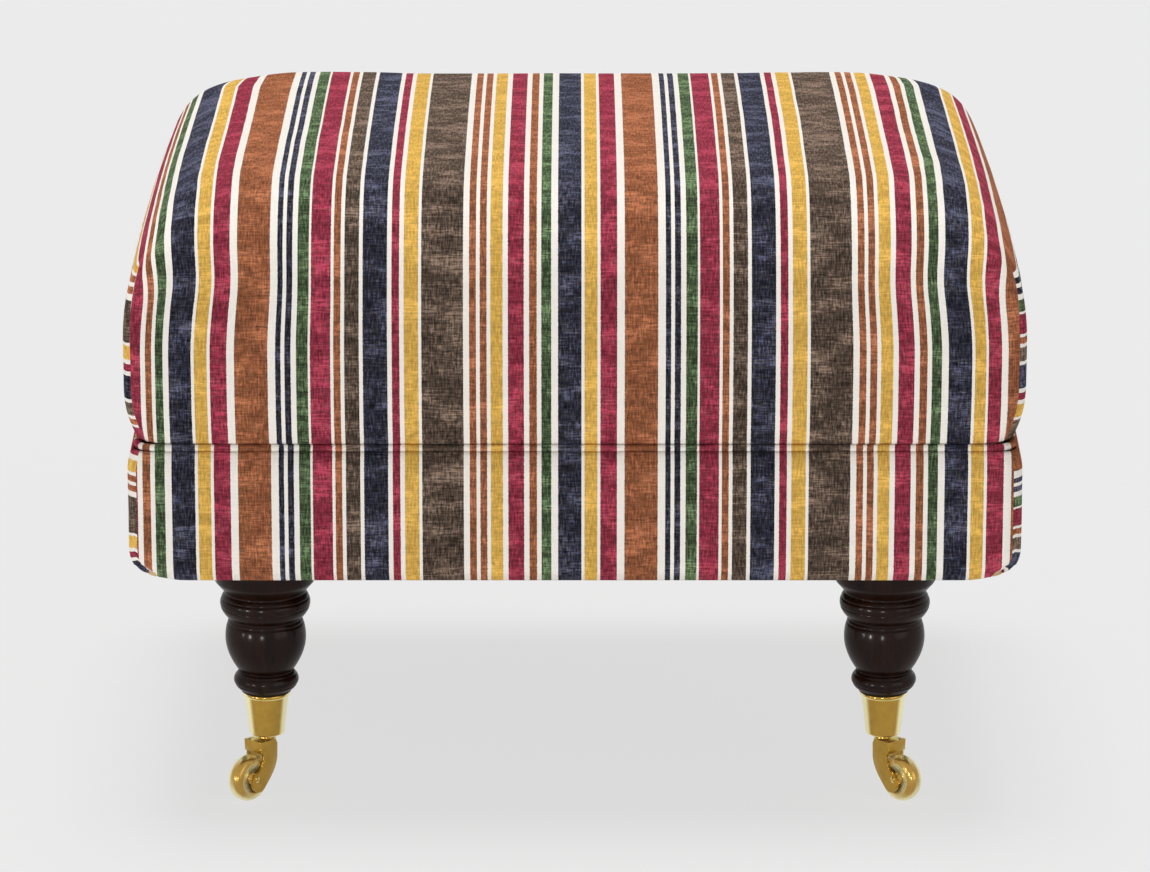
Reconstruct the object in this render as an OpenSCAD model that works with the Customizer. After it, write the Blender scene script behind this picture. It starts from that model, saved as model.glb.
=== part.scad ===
/* [Cushion] */
// Width of the cushion cover between its sides, before they bow
cushion_w = 620.4; // [580:0.1:680]
// Depth of the cushion cover from front to back
cushion_d = 482; // [440:1:540]
// Height of the cushion from its piped seam to the top of the crown
cushion_h = 182; // [150:1:220]
// How far each long side bows out at its middle
side_bow = 3; // [0:0.5:6]
// How far the cushion is drawn in at the seam
seam_draw = 7.4; // [5:0.1:12]
// Height over which the cushion swells out above the seam
swell_h = 40; // [30:1:60]
// Height of the rounded shoulder below the crown
shoulder_h = 105; // [80:1:120]
// Width of the rounded shoulder, seen from above
shoulder_w = 75; // [55:1:95]
// Rise of the crown from the shoulder to the middle
crown_rise = 4.7; // [2:0.1:12]
// Corner radius of the cushion at its fullest
cushion_corner_r = 15; // [8:1:24]
// Corner radius of the cushion on top
crown_corner_r = 53; // [40:1:70]
// Thickness of the woven cover
cover_t = 2; // [1.2:0.1:3]
// Thickness of the fibre wrap under the cover
wrap_t = 6; // [3:0.5:12]

/* [Piping] */
// Diameter of the covered piping cord
piping_d = 5.4; // [4:0.1:7]
// Corner radius of the piping
piping_corner_r = 20; // [17:0.5:24]
// Height of the flange that is stapled to the rails
piping_flange_h = 12; // [8:1:18]
// Thickness of the piping's flange
piping_flange_t = 3; // [2.9:0.1:3.4]
// Height of the card strip that backs the top edge of the border
tack_strip_h = 10; // [6:1:12]
// Thickness of the card strip
tack_strip_t = 1.4; // [0.8:0.1:1.8]

/* [Border] */
// Height of the upholstered border under the seam
border_h = 93.2; // [70:0.1:120]
// How far the border's sides stay inside the cushion's sides
border_inset = 2.5; // [0:0.5:5]
// Corner radius of the border
border_corner_r = 14; // [8:1:24]
// How far the border rolls in at its bottom edge
border_roll_w = 12; // [6:0.5:12]
// Height of that roll
border_roll_h = 20; // [12:1:30]
// Thickness of the border's woven cover
border_t = 1.6; // [1:0.1:2]
// Width of cover turned under the rails
turn_under = 26; // [16:1:32]

/* [Frame] */
// Thickness of the rails
rail_t = 22; // [18:1:28]
// Radius of the rails' outer corners
rail_corner_r = 12; // [10:0.5:14]
// Distance from the piping cord's centre line in to the outer face of the rails
rail_setback = 5.5; // [5.5:0.1:6.5]
// Height left between the rails' top edge and the piping cord's centre line
rail_drop = 7; // [5.8:0.1:9]
// How far the corner blocks run along the long rails past the legs' axes
block_reach = 44; // [36:1:70]
// Thickness of the corner blocks
block_t = 40; // [30:1:60]
// Cut taken off the inner corner of each block
block_cut = 22; // [10:1:26]
// Diameter of the dowels that join the rails
dowel_d = 8; // [6:1:10]
// Length of those dowels
dowel_l = 36; // [24:1:40]
// Width of the seat webbing
webbing_w = 50; // [40:1:56]
// Thickness of the seat webbing
webbing_t = 1.2; // [0.8:0.1:2]
// Number of webbing straps laid from side to side
long_strap_count = 3; // [2:1:4]
// Number of webbing straps laid from front to back
cross_strap_count = 5; // [3:1:6]
// Thickness of the platform cloth over the webbing
platform_t = 0.7; // [0.5:0.1:1.2]
// Thickness of the dust cover under the frame
dust_cover_t = 0.8; // [0.5:0.1:1.5]

/* [Legs] */
// Distance from the cushion's sides in to the legs' axes
leg_inset_x = 92.5; // [80:0.1:110]
// Distance from the cushion's front and back in to the legs' axes
leg_inset_y = 58.5; // [48:0.5:80]
// Radius of the leg's top plate
leg_plate_r = 35.2; // [34:0.1:43]
// Height of the leg's top plate
leg_plate_h = 13.5; // [8:0.1:16]
// Height of the cove under the plate
leg_cove_h = 7.7; // [6:0.1:16]
// Radius at the neck between the cove and the upper bead
leg_neck_r = 28.5; // [26:0.1:31]
// Largest radius of the upper bead
leg_bead_r = 31.8; // [30:0.1:36]
// Height of the upper bead
leg_bead_h = 19.4; // [14:0.1:26]
// Radius at the neck between the upper bead and the bulb
leg_waist_r = 25.6; // [22:0.1:27]
// Largest radius of the bulb
leg_bulb_r = 28.3; // [26:0.1:34]
// Height of the bulb
leg_bulb_h = 38.4; // [30:0.1:60]
// Radius at the neck between the bulb and the ring
leg_ankle_r = 19; // [17:0.1:21]
// Largest radius of the ring above the cup
leg_ring_r = 22.9; // [21:0.1:26]
// Height of the ring
leg_ring_h = 15.2; // [12:0.1:22]
// Height of the small flat turned at each neck
leg_fillet_h = 1; // [0.5:0.1:1.5]
// Diameter of the bolt that holds each leg
leg_bolt_d = 8; // [6:1:10]

/* [Castors] */
// Height of the brass cup
cup_h = 31.7; // [24:0.1:40]
// Outer radius of the cup under its rim
cup_top_r = 15.8; // [14:0.1:17]
// Outer radius of the cup at its bottom
cup_bottom_r = 12.3; // [10.8:0.1:13]
// How far the cup's rim stands out
cup_rim = 1; // [1:0.1:2]
// Wall thickness of the cup
cup_wall = 1.5; // [1:0.1:2]
// Thickness of the cup's floor
cup_floor = 3; // [2:0.1:5]
// Diameter of the wheel
wheel_d = 33; // [30:0.5:34]
// Width of the wheel
wheel_w = 12; // [11:0.5:15]
// Distance from the swivel axis to the axle
trail = 19; // [17:0.1:20]
// Turn of each fork away from the side view
fork_turn = 48; // [0:1:90]
// Thickness of the fork's cheeks
cheek_t = 2; // [1.6:0.1:3]
// Thickness of the fork's crown over the wheel
crown_t = 7.9; // [6:0.1:10]
// Height of the round boss on the crown
boss_h = 2.3; // [2:0.1:7]
// Radius of the boss
boss_r = 6.4; // [6:0.1:8]
// Diameter of the swivel pin
pin_d = 8; // [6:0.5:9]
// Diameter of the wheel's axle
axle_d = 3; // [3:0.5:5]

/* [Hidden] */

// Corners of the stool as [left or right, front or back, turn of the fork]
front_left = [-1, -1, 180 + fork_turn];
front_right = [1, -1, -fork_turn];
back_left = [-1, 1, 180 - fork_turn];
back_right = [1, 1, fork_turn];
corners = [front_left, front_right, back_left, back_right];

// Clearances
seat_gap = 0.3;      // between a soft piece and what it lies on
running_gap = 0.06;  // round a turning pin or axle
thrust_gap = 0.3;    // between a swivelling face and its stop
wheel_gap = 1.6;     // round the wheel's tread
side_gap = 0.5;      // beside the wheel
socket_gap = 0.15;   // between a leg's spigot and its cup
cut = 1;             // how far a cutting body runs past a face

// Heights above the floor
axle_z = wheel_d / 2;
crown_z = axle_z + wheel_d / 2 + wheel_gap;
fork_top_z = crown_z + crown_t;
boss_top_z = fork_top_z + boss_h;
cup_z = boss_top_z + thrust_gap;
leg_z = cup_z + cup_h;
bead_z = leg_z + leg_ring_h + leg_bulb_h;
leg_h = leg_ring_h + leg_bulb_h + leg_bead_h + leg_cove_h + leg_plate_h;
leg_top_z = leg_z + leg_h;
border_z = leg_top_z + dust_cover_t;
border_top_z = border_z + border_h;
seam_z = border_top_z + piping_d / 2 + seat_gap;
cover_z = seam_z + piping_d / 2 + seat_gap;
crown_top_z = seam_z + cushion_h;
rail_z = border_z + border_t + seat_gap;
rail_top_z = seam_z - rail_drop;

// Half sizes in plan
pad_a = cushion_w / 2;
pad_b = cushion_d / 2;
border_a = pad_a - border_inset;
piping_a = pad_a - seam_draw;
piping_b = pad_b - seam_draw;
rail_a = piping_a - rail_setback;
rail_b = piping_b - rail_setback;
leg_x = pad_a - leg_inset_x;
leg_y = pad_b - leg_inset_y;

// Colours
beech = "#c9a878";
espresso = "#2e1f19";
brass = "#c29a3f";
steel = "#9a9ca0";
rust = "#a2583a";
cream = "#f4efe4";
navy = "#2f3147";
foam_blue = "#dfe6ea";
wadding_white = "#f5f5f2";
jute = "#b59a6a";
card = "#b8a684";
webbing_black = "#2b2b2d";

// General curves
function mix(a, b, t) = a + (b - a) * t;
function bezier(p, t) =
    p[0] * pow(1 - t, 3) + 3 * p[1] * t * pow(1 - t, 2)
    + 3 * p[2] * t * t * (1 - t) + p[3] * pow(t, 3);
function bezier_points(p, n) = [for (i = [1:n]) bezier(p, i / n)];

// A rounded rectangle in plan at height z, whose left and right sides bow out
corner_steps = 5;
side_steps = 4;
function bowed(x, y, a, b, bow) = x + sign(x) * bow * (1 - pow(y / b, 2)) * min(1, abs(x) / a);
function corner_points(cx, cy, r, start) =
    [for (i = [0:corner_steps]) [cx + r * cos(start + 90 * i / corner_steps),
                                 cy + r * sin(start + 90 * i / corner_steps)]];
function side_points(p, q) = [for (i = [1:side_steps]) mix(p, q, i / (side_steps + 1))];
function plan(a, b, r) =
    let (x = a - r, y = b - r)
    concat(corner_points(x, y, r, 0), side_points([x, b], [-x, b]),
           corner_points(-x, y, r, 90), side_points([-a, y], [-a, -y]),
           corner_points(-x, -y, r, 180), side_points([-x, -b], [x, -b]),
           corner_points(x, -y, r, 270), side_points([a, -y], [a, y]));
function ring(a, b, r, z, bow) = [for (p = plan(a, b, r)) [bowed(p[0], p[1], a, b, bow), p[1], z]];

// A closed skin over rings round the Z axis that have the same number of points
module loft(rings) {
    n = len(rings[0]);
    last = len(rings) - 1;
    low_mid = n * (last + 1);
    top_mid = low_mid + 1;
    mids = [for (k = [0, last]) [0, 0, rings[k][0][2]]];
    sides = [for (k = [0:last - 1], i = [0:n - 1])
        let (a = k * n + i, b = k * n + (i + 1) % n, c = b + n, d = a + n)
        each [[a, d, c], [a, c, b]]];
    caps = [for (i = [0:n - 1])
        let (j = (i + 1) % n)
        each [[low_mid, i, j], [top_mid, last * n + j, last * n + i]]];
    polyhedron(points = concat([for (r = rings) each r], mids), faces = concat(sides, caps));
}

// The cushion's section as [inset from its fullest outline, height above the cover's edge]
pad_h = crown_top_z - cover_z;
crown_inset_max = pad_b * 0.83;
function swell_path(n) = [for (i = [0:n - 1]) let (h = swell_h * i / n)
    [seam_draw * pow(1 - h / swell_h, 2), h]];
shoulder = [[0, pad_h - shoulder_h], [1.2, pad_h - shoulder_h * 0.47],
            [shoulder_w * 0.33, pad_h - crown_rise], [shoulder_w, pad_h - crown_rise]];
function crown_path(n) = [for (i = [1:n])
    let (s = mix(shoulder_w, crown_inset_max, i / n))
    [s, pad_h - crown_rise * pow((pad_b - s) / (pad_b - shoulder_w), 2)]];
function pad_path(n_swell, n_shoulder, n_crown) =
    concat(swell_path(n_swell), [[0, swell_h], shoulder[0]],
           bezier_points(shoulder, n_shoulder), crown_path(n_crown));
function pad_corner_r(s) = mix(cushion_corner_r, crown_corner_r, pow(min(1, s / 54), 0.92));

// The cushion shape, taken in all round by skin and standing on base_z or on a foot below it
module pad(skin, base_z, n_swell, n_shoulder, n_crown, foot_z = 0) {
    squeeze = (crown_top_z - skin - base_z) / pad_h;
    rings = [for (p = pad_path(n_swell, n_shoulder, n_crown))
        let (s = p[0] + skin, r = pad_corner_r(p[0]), wide = 1 - p[0] / pad_a)
        ring(pad_a - s, pad_b - s, min(r, pad_b - s - 1), base_z + p[1] * squeeze,
             side_bow * wide * min(1, p[1] / swell_h))];
    foot = [for (q = rings[0]) [q[0], q[1], foot_z]];
    loft(foot_z > 0 ? concat([foot], rings) : rings);
}

wrap_skin = cover_t + seat_gap;
foam_skin = wrap_skin + wrap_t + seat_gap;
foam_z = rail_top_z + 2 * webbing_t + platform_t + 3 * seat_gap;

module cushion_cover() {
    color(rust)
    difference() {
        pad(0, cover_z, 4, 6, 3);
        pad(cover_t, cover_z - cut, 3, 4, 2);
    }
}

module fibre_wrap() {
    color(wadding_white)
    difference() {
        pad(wrap_skin, cover_z, 3, 4, 2);
        pad(wrap_skin + wrap_t, cover_z - cut, 2, 3, 1);
    }
}

module foam_core() {
    color(foam_blue)
    pad(foam_skin, cover_z - cut, 2, 3, 1, foam_z);
}

// Piping cord and its flange, round the top edge of the rails
module round_plan(a, b, r) {
    square([2 * (a - r), 2 * b], center = true);
    square([2 * a, 2 * (b - r)], center = true);
    for (x = [-1, 1], y = [-1, 1]) translate([x * (a - r), y * (b - r)]) circle(r, $fn = 48);
}

module frame_plan(grow) { round_plan(rail_a + grow, rail_b + grow, rail_corner_r + grow); }

module frame_band(inner, outer) {
    difference() {
        frame_plan(outer);
        frame_plan(inner);
    }
}

module piping_cord() {
    x = piping_a - piping_corner_r;
    y = piping_b - piping_corner_r;
    for (side = [-1, 1]) {
        translate([0, side * piping_b, 0]) rotate([0, 90, 0])
            cylinder(h = 2 * x, d = piping_d, center = true, $fn = 32);
        translate([side * piping_a, 0, 0]) rotate([90, 0, 0])
            cylinder(h = 2 * y, d = piping_d, center = true, $fn = 32);
    }
    for (c = [[x, y, 0], [-x, y, 90], [-x, -y, 180], [x, -y, 270]])
        translate([c[0], c[1], 0]) rotate([0, 0, c[2]]) rotate_extrude(angle = 90, $fn = 96)
            translate([piping_corner_r, 0]) circle(d = piping_d, $fn = 32);
}

module piping() {
    color(rust) {
        translate([0, 0, seam_z]) piping_cord();
        translate([0, 0, seam_z - piping_flange_h])
            linear_extrude(piping_flange_h) frame_band(seat_gap, piping_flange_t + 0.2);
    }
}

tack_in = piping_flange_t + 0.2 + seat_gap;
tack_out = tack_in + tack_strip_t;
tack_top_z = border_top_z - border_t - 2 * seat_gap;

module tack_strip() {
    color(card)
    translate([0, 0, tack_top_z - tack_strip_h])
        linear_extrude(tack_strip_h) frame_band(tack_in, tack_out);
}

// The border's section as [inset from its fullest outline, height above its bottom edge]
border_draw = 3.2;     // how far the border is drawn in under the piping
border_draw_h = 10;  // height of that curve
function border_path(n) =
    concat([for (i = [0:n - 1]) let (h = border_roll_h * i / n)
               [border_roll_w * pow(1 - h / border_roll_h, 2), h]],
           [[0, border_roll_h], [0, border_h - border_draw_h]],
           [for (i = [1:n - 1]) let (t = i / (n - 1))
               [border_draw * t * t, border_h - border_draw_h * (1 - t)]]);

module border_form(skin) {
    squeeze = (border_h - 2 * skin) / border_h;
    loft([for (p = border_path(4))
        let (s = p[0] + skin, full = 1 - p[0] / border_roll_w)
        ring(border_a - s, pad_b - s, border_corner_r, border_z + skin + p[1] * squeeze,
             side_bow * max(0, full))]);
}

module frame_space(grow, bottom_z, top_z) {
    translate([0, 0, bottom_z]) linear_extrude(top_z - bottom_z) frame_plan(grow);
}

module tack_space() {
    low = min(tack_top_z - tack_strip_h, seam_z - piping_flange_h) - seat_gap;
    frame_space(tack_out + seat_gap, low, border_top_z + cut);
}

// Border cover without its wadding: a thin skin that turns under the rails
module border_skin() {
    under_a = rail_a - turn_under;
    under_b = rail_b - turn_under;
    difference() {
        border_form(0);
        border_form(border_t);
        frame_space(seat_gap, border_z + border_t, border_top_z + cut);
        tack_space();
        translate([0, 0, border_z]) cube([2 * under_a, 2 * under_b, 4 * border_t], center = true);
    }
}

// The corner seam lies a little way round the corner, so the front panel ends at seam_x
seam_turn = 25;
seam_x = border_a - border_corner_r * (1 - sin(seam_turn));
module front_region(side, grow) {
    reach = pad_b - rail_b + turn_under + cut;
    translate([0, side * (pad_b + cut - reach / 2), border_z + border_h / 2])
        cube([2 * (seam_x + grow), reach + 2 * grow, border_h + 2 * cut], center = true);
}

module border_long(side) {
    intersection() {
        border_skin();
        front_region(side, 0);
    }
}

module border_short(side) {
    difference() {
        intersection() {
            border_skin();
            translate([side * border_a, 0, border_z + border_h / 2])
                cube([border_a, 2 * pad_b + cut, border_h + 2 * cut], center = true);
        }
        front_region(-1, 0.1);
        front_region(1, 0.1);
    }
}

module border_front() { color(rust) border_long(-1); }
module border_back() { color(rust) border_long(1); }
module border_left() { color(navy) border_short(-1); }
module border_right() { color(navy) border_short(1); }

module border_wadding() {
    color(wadding_white)
    difference() {
        border_form(border_t + seat_gap);
        frame_space(seat_gap, border_z - cut, border_top_z + cut);
        tack_space();
    }
}

// Rails: the long ones run through, the short ones are dowelled between them
rail_h = rail_top_z - rail_z;
short_l = 2 * (rail_b - rail_t);
dowel_x = rail_a - rail_t / 2;
dowel_levels = [rail_z + rail_h * 0.25, rail_z + rail_h * 0.75];

module dowel(x, side, z) {
    translate([x, side * (rail_b - rail_t), z]) rotate([90, 0, 0])
        cylinder(h = dowel_l, d = dowel_d, center = true, $fn = 32);
}

module all_dowels() {
    for (x = [-dowel_x, dowel_x], side = [-1, 1], z = dowel_levels) dowel(x, side, z);
}

module rail_dowels() { color(beech) all_dowels(); }

module long_rail(side) {
    difference() {
        translate([0, 0, rail_z]) linear_extrude(rail_h) intersection() {
            frame_plan(0);
            translate([0, side * (rail_b - rail_t / 2)]) square([2 * rail_a, rail_t], center = true);
        }
        all_dowels();
        block_screw_holes();
    }
}

module short_rail(side) {
    difference() {
        translate([side * (rail_a - rail_t / 2), 0, rail_z + rail_h / 2])
            cube([rail_t, short_l, rail_h], center = true);
        all_dowels();
    }
}

module front_rail() { color(beech) long_rail(-1); }
module back_rail() { color(beech) long_rail(1); }
module left_rail() { color(beech) short_rail(-1); }
module right_rail() { color(beech) short_rail(1); }

// Corner blocks carry the legs and are screwed to the long rails
block_x = rail_a - rail_t;
block_y = rail_b - rail_t;
block_l = block_x - leg_x + block_reach;
block_lap = 5;       // how far a block runs past the leg's plate
block_w = block_y - leg_y + leg_plate_r + block_lap;
nut_r = 5.5;
nut_flange_r = 10;
nut_flange_t = 1.5;
nut_l = 11;
screw_r = 2.2;
screw_head_r = 4.2;
screw_head_l = 2.6;
screw_grip = 16;
screw_bite = 34;
screw_edge = 14;     // from a screw to the far end of its block
screw_xs = [mix(leg_x, block_x, 0.78), leg_x - block_reach + screw_edge];

module block_screw(corner, x, r, head_r, extra) {
    head_y = block_y - screw_bite;
    translate([corner[0] * x, corner[1] * head_y, rail_z + block_t / 2])
        rotate([-90 * corner[1], 0, 0]) {
            cylinder(h = screw_bite + screw_grip, r = r, $fn = 24);
            translate([0, 0, -extra]) cylinder(h = screw_head_l + extra, r = head_r, $fn = 24);
        }
}

module block_screw_holes() {
    for (c = corners, x = screw_xs) block_screw(c, x, screw_r, screw_head_r + 0.3, block_w);
}

module corner_block_screws() {
    color(steel)
    for (c = corners, x = screw_xs) block_screw(c, x, screw_r, screw_head_r, 0);
}

module at_leg(corner) {
    translate([corner[0] * leg_x, corner[1] * leg_y, 0]) children();
}

module block_plan(x, y) {
    x_far = block_x - block_l;
    y_far = block_y - block_w;
    polygon([[x, y], [x_far, y], [x_far, y_far + block_cut], [x_far + block_cut, y_far], [x, y_far]]);
}

// The block's underside is rebated for the cover that is turned under the rails
module corner_block(corner) {
    foot_z = border_z + seat_gap;
    under_x = min(block_x, rail_a - turn_under - seat_gap);
    under_y = min(block_y, rail_b - turn_under - seat_gap);
    color(beech)
    difference() {
        scale([corner[0], corner[1], 1]) {
            translate([0, 0, rail_z]) linear_extrude(block_t) block_plan(block_x, block_y);
            translate([0, 0, foot_z])
                linear_extrude(rail_z - foot_z) block_plan(under_x, under_y);
        }
        at_leg(corner) {
            translate([0, 0, foot_z - cut])
                cylinder(h = block_t + 4 * cut, d = leg_bolt_d + 0.6, $fn = 32);
            translate([0, 0, rail_z + block_t - nut_l])
                cylinder(h = nut_l + cut, r = nut_r, $fn = 32);
        }
        block_screw_holes();
    }
}

// Seat webbing, platform cloth and dust cover
strap_end = 6;   // how far a strap stops short of the rails' outer faces
strap_lift = webbing_t + seat_gap;
function spread(count, span) = [for (i = [0:count - 1]) span * ((i + 0.5) / count - 0.5)];
long_ys = spread(long_strap_count, 2 * block_y);
cross_xs = spread(cross_strap_count, 2 * block_x);

module long_webbing() {
    color(webbing_black)
    for (y = long_ys) translate([0, y, rail_top_z + webbing_t / 2])
        cube([2 * (rail_a - strap_end), webbing_w, webbing_t], center = true);
}

// A cross strap lies on the long rails and is lifted over the straps between them
module cross_webbing() {
    foot = rail_b - strap_end;
    strap_clear = 4;
    ramp = 8;
    rise_y = long_ys[long_strap_count - 1] + webbing_w / 2 + strap_clear;
    side = [[foot, 0], [rise_y + ramp, 0], [rise_y, strap_lift]];
    under = concat(side, [for (i = [2:-1:0]) [-side[i][0], side[i][1]]]);
    over = [for (i = [5:-1:0]) under[i] + [0, webbing_t]];
    color(webbing_black)
    for (x = cross_xs) translate([x - webbing_w / 2, 0, rail_top_z])
        rotate([90, 0, 90]) linear_extrude(webbing_w) polygon(concat(under, over));
}

module platform_cloth() {
    z = rail_top_z + strap_lift + webbing_t + seat_gap;
    color(jute)
    translate([0, 0, z + platform_t / 2])
        cube([2 * (rail_a - strap_end), 2 * (rail_b - strap_end), platform_t], center = true);
}

module dust_cover() {
    edge = 8;
    color(webbing_black)
    difference() {
        translate([0, 0, leg_top_z]) linear_extrude(dust_cover_t)
            square([2 * (rail_a - edge), 2 * (rail_b - edge)], center = true);
        for (c = corners) at_leg(c) translate([0, 0, leg_top_z - cut])
            cylinder(h = 2 * cut + dust_cover_t, d = leg_bolt_d + 0.6, $fn = 32);
    }
}

// Turned legs: each bead swells from the line between its two necks
bolt_in_leg = 40;
bolt_spare = 3;
spigot_clear = 3.4;
function bead_points(r0, r1, full_r, z0, h, n) =
    let (swell = full_r - mix(r0, r1, 0.56), low = z0 + leg_fillet_h)
    concat([[r0, z0]], [for (i = [0:n]) let (t = i / n)
        [mix(r0, r1, t) + swell * pow(sin(180 * t), 0.8), low + (h - leg_fillet_h) * t]]);
function cove_points(r0, r1, z0, h, n) = [for (i = [0:n]) let (t = i / n)
    [mix(r0, r1, pow(t, 1.05)), z0 + leg_fillet_h + (h - leg_fillet_h) * t]];

// Inner radius of the cup at a height, which the leg's spigot follows
function cup_r(z) = mix(cup_bottom_r, cup_top_r, (z - cup_z) / cup_h);
function cup_inner_r(z) = cup_r(z) - cup_wall;
cup_floor_z = cup_z + cup_floor;
washer_t = 1.2;
pin_head_t = 1.6;
pin_head_r = pin_d / 2 + 1.5;
washer_z = cup_floor_z + thrust_gap;
pin_top_z = washer_z + washer_t + pin_head_t;
spigot_z = pin_top_z + spigot_clear;
leg_foot_r = cup_top_r + cup_rim + 0.6;

module leg(corner) {
    z_plate = leg_top_z - leg_plate_h;
    color(espresso)
    at_leg(corner)
    difference() {
        rotate_extrude($fn = 96) polygon(concat(
            [[0, spigot_z], [cup_inner_r(spigot_z) - socket_gap, spigot_z],
             [cup_inner_r(leg_z) - socket_gap, leg_z]],
            bead_points(leg_foot_r, leg_ankle_r, leg_ring_r, leg_z, leg_ring_h, 12),
            bead_points(leg_ankle_r, leg_waist_r, leg_bulb_r, leg_z + leg_ring_h, leg_bulb_h, 18),
            bead_points(leg_waist_r, leg_neck_r, leg_bead_r, bead_z, leg_bead_h, 14),
            cove_points(leg_neck_r, leg_plate_r - 1, bead_z + leg_bead_h, leg_cove_h, 7),
            [[leg_plate_r, z_plate + 1.5], [leg_plate_r, leg_top_z - 1.5],
             [leg_plate_r - 1, leg_top_z], [0, leg_top_z]]));
        translate([0, 0, leg_top_z - bolt_in_leg])
            cylinder(h = bolt_in_leg + cut, d = leg_bolt_d, $fn = 32);
        cup_screw_space(corner, screw_pilot_r);
    }
}

module leg_bolts() {
    color(steel)
    for (c = corners) at_leg(c) translate([0, 0, leg_top_z - bolt_in_leg])
        cylinder(h = bolt_in_leg + dust_cover_t + block_t + bolt_spare + rail_z - border_z,
                 d = leg_bolt_d, $fn = 32);
}

module leg_nuts() {
    color(steel)
    for (c = corners) at_leg(c) difference() {
        union() {
            translate([0, 0, rail_z + block_t - nut_l]) cylinder(h = nut_l, r = nut_r, $fn = 32);
            translate([0, 0, rail_z + block_t])
                cylinder(h = nut_flange_t, r = nut_flange_r, $fn = 48);
        }
        translate([0, 0, rail_z]) cylinder(h = 2 * block_t, d = leg_bolt_d, $fn = 32);
    }
}

// Brass cup: a tapered socket with a rolled rim and a floor for the swivel pin
rim_h = 3;
cup_screw_z = cup_z + cup_h * 0.62;
screw_pilot_r = 1.4;
cup_screw_l = 9;
cup_screw_head_r = 2.8;
cup_screw_head_t = 1;

module cup_screw_space(corner, r) {
    translate([0, 0, cup_screw_z]) rotate([-90 * corner[1], 0, 180])
        translate([0, 0, cup_r(cup_screw_z) - cup_screw_l])
            cylinder(h = cup_screw_l + cut, r = r, $fn = 20);
}

module cup(corner) {
    color(brass)
    at_leg(corner)
    difference() {
        rotate_extrude($fn = 96) polygon(concat(
            [[0, cup_z], [cup_bottom_r - 0.6, cup_z], [cup_bottom_r, cup_z + 0.6],
             [cup_r(leg_z - rim_h), leg_z - rim_h]],
            [for (i = [0:8]) let (t = -90 + 180 * i / 8)
                [cup_top_r + (cup_rim - 0.2) * cos(t), leg_z - rim_h / 2 + rim_h / 2 * sin(t)]],
            [[cup_inner_r(leg_z), leg_z], [cup_inner_r(cup_floor_z), cup_floor_z],
             [0, cup_floor_z]]));
        translate([0, 0, cup_z - cut])
            cylinder(h = cup_floor + 2 * cut, r = pin_d / 2 + running_gap, $fn = 48);
        cup_screw_space(corner, screw_pilot_r);
    }
}

module cup_screws() {
    color(brass)
    for (c = corners) at_leg(c)
        translate([0, 0, cup_screw_z]) rotate([-90 * c[1], 0, 180]) {
            translate([0, 0, cup_r(cup_screw_z) - cup_screw_l])
                cylinder(h = cup_screw_l, r = screw_pilot_r, $fn = 20);
            translate([0, 0, cup_r(cup_screw_z) + 0.4])
                cylinder(h = cup_screw_head_t, r1 = cup_screw_head_r, r2 = 1.8, $fn = 24);
            translate([0, 0, cup_r(cup_screw_z) - 0.2])
                cylinder(h = 0.8, r = screw_pilot_r, $fn = 20);
        }
}

// Castor fork, in its own frame: the swivel axis is Z and the axle lies at x = trail
fork_w = wheel_w + 2 * side_gap + 2 * cheek_t;
slot_w = wheel_w + 2 * side_gap;
cheek_rear = -1.7;      // rear edge of the cheeks behind the swivel axis
cheek_front = 14.3;     // front edge of the crown
cheek_inner = cheek_front - 1.9;
cheek_end_r = 7.2;      // rounded end of the cheek
cheek_end_x = trail - 2.9;
cheek_end_z = axle_z - 2.9;
crown_back_z = crown_z - 3.2;
crown_chamfer = 3.3;

function cheek_outline() = concat(
    [[cheek_front, fork_top_z], [0, fork_top_z], [cheek_rear, fork_top_z - crown_chamfer]],
    bezier_points([[cheek_rear, crown_back_z + 1], [cheek_rear, axle_z + 5],
                   [5.5, axle_z - 1.5], [cheek_end_x - 4.1, cheek_end_z - 5.6]], 10),
    [for (i = [1:12]) let (t = 238 + (72 + 360 - 238) * i / 12)
        [cheek_end_x + cheek_end_r * cos(t), cheek_end_z + cheek_end_r * sin(t)]],
    bezier_points([[cheek_end_x + 2, cheek_end_z + cheek_end_r - 0.3],
                   [trail - 4.2, axle_z + 6], [cheek_inner - 0.2, axle_z + 9],
                   [cheek_inner, crown_z - 3]], 8),
    [[cheek_inner, crown_z - 0.6], [cheek_front - 0.4, crown_z - 0.6]]);

module in_castor(corner) {
    at_leg(corner) rotate([0, 0, corner[2]]) children();
}

module along_axle(h) {
    translate([trail, 0, axle_z]) rotate([90, 0, 0]) translate([0, 0, -h / 2]) children();
}

module fork(corner) {
    color(brass)
    in_castor(corner)
    difference() {
        union() {
            rotate([90, 0, 0]) translate([0, 0, -fork_w / 2])
                linear_extrude(fork_w) polygon(cheek_outline());
            translate([0, 0, crown_back_z])
                cylinder(h = boss_top_z - crown_back_z, r = boss_r, $fn = 64);
        }
        along_axle(slot_w) cylinder(h = slot_w, r = wheel_d / 2 + wheel_gap, $fn = 96);
        translate([-boss_r - cut, -slot_w / 2, -cut])
            cube([boss_r + cut + trail, slot_w, crown_back_z + cut]);
        along_axle(fork_w + 2 * cut) cylinder(h = fork_w + 2 * cut, d = axle_d, $fn = 32);
        cylinder(h = boss_top_z + cut, d = pin_d, $fn = 48);
    }
}

module swivel_pin(corner) {
    color(brass)
    in_castor(corner) {
        translate([0, 0, crown_back_z - pin_head_t])
            cylinder(h = pin_head_t, r1 = pin_head_r - 0.8, r2 = pin_head_r, $fn = 48);
        translate([0, 0, crown_back_z])
            cylinder(h = washer_z + washer_t - crown_back_z, d = pin_d, $fn = 48);
        translate([0, 0, washer_z + washer_t])
            cylinder(h = pin_head_t, r1 = pin_head_r, r2 = pin_head_r - 1, $fn = 48);
    }
}

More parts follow.
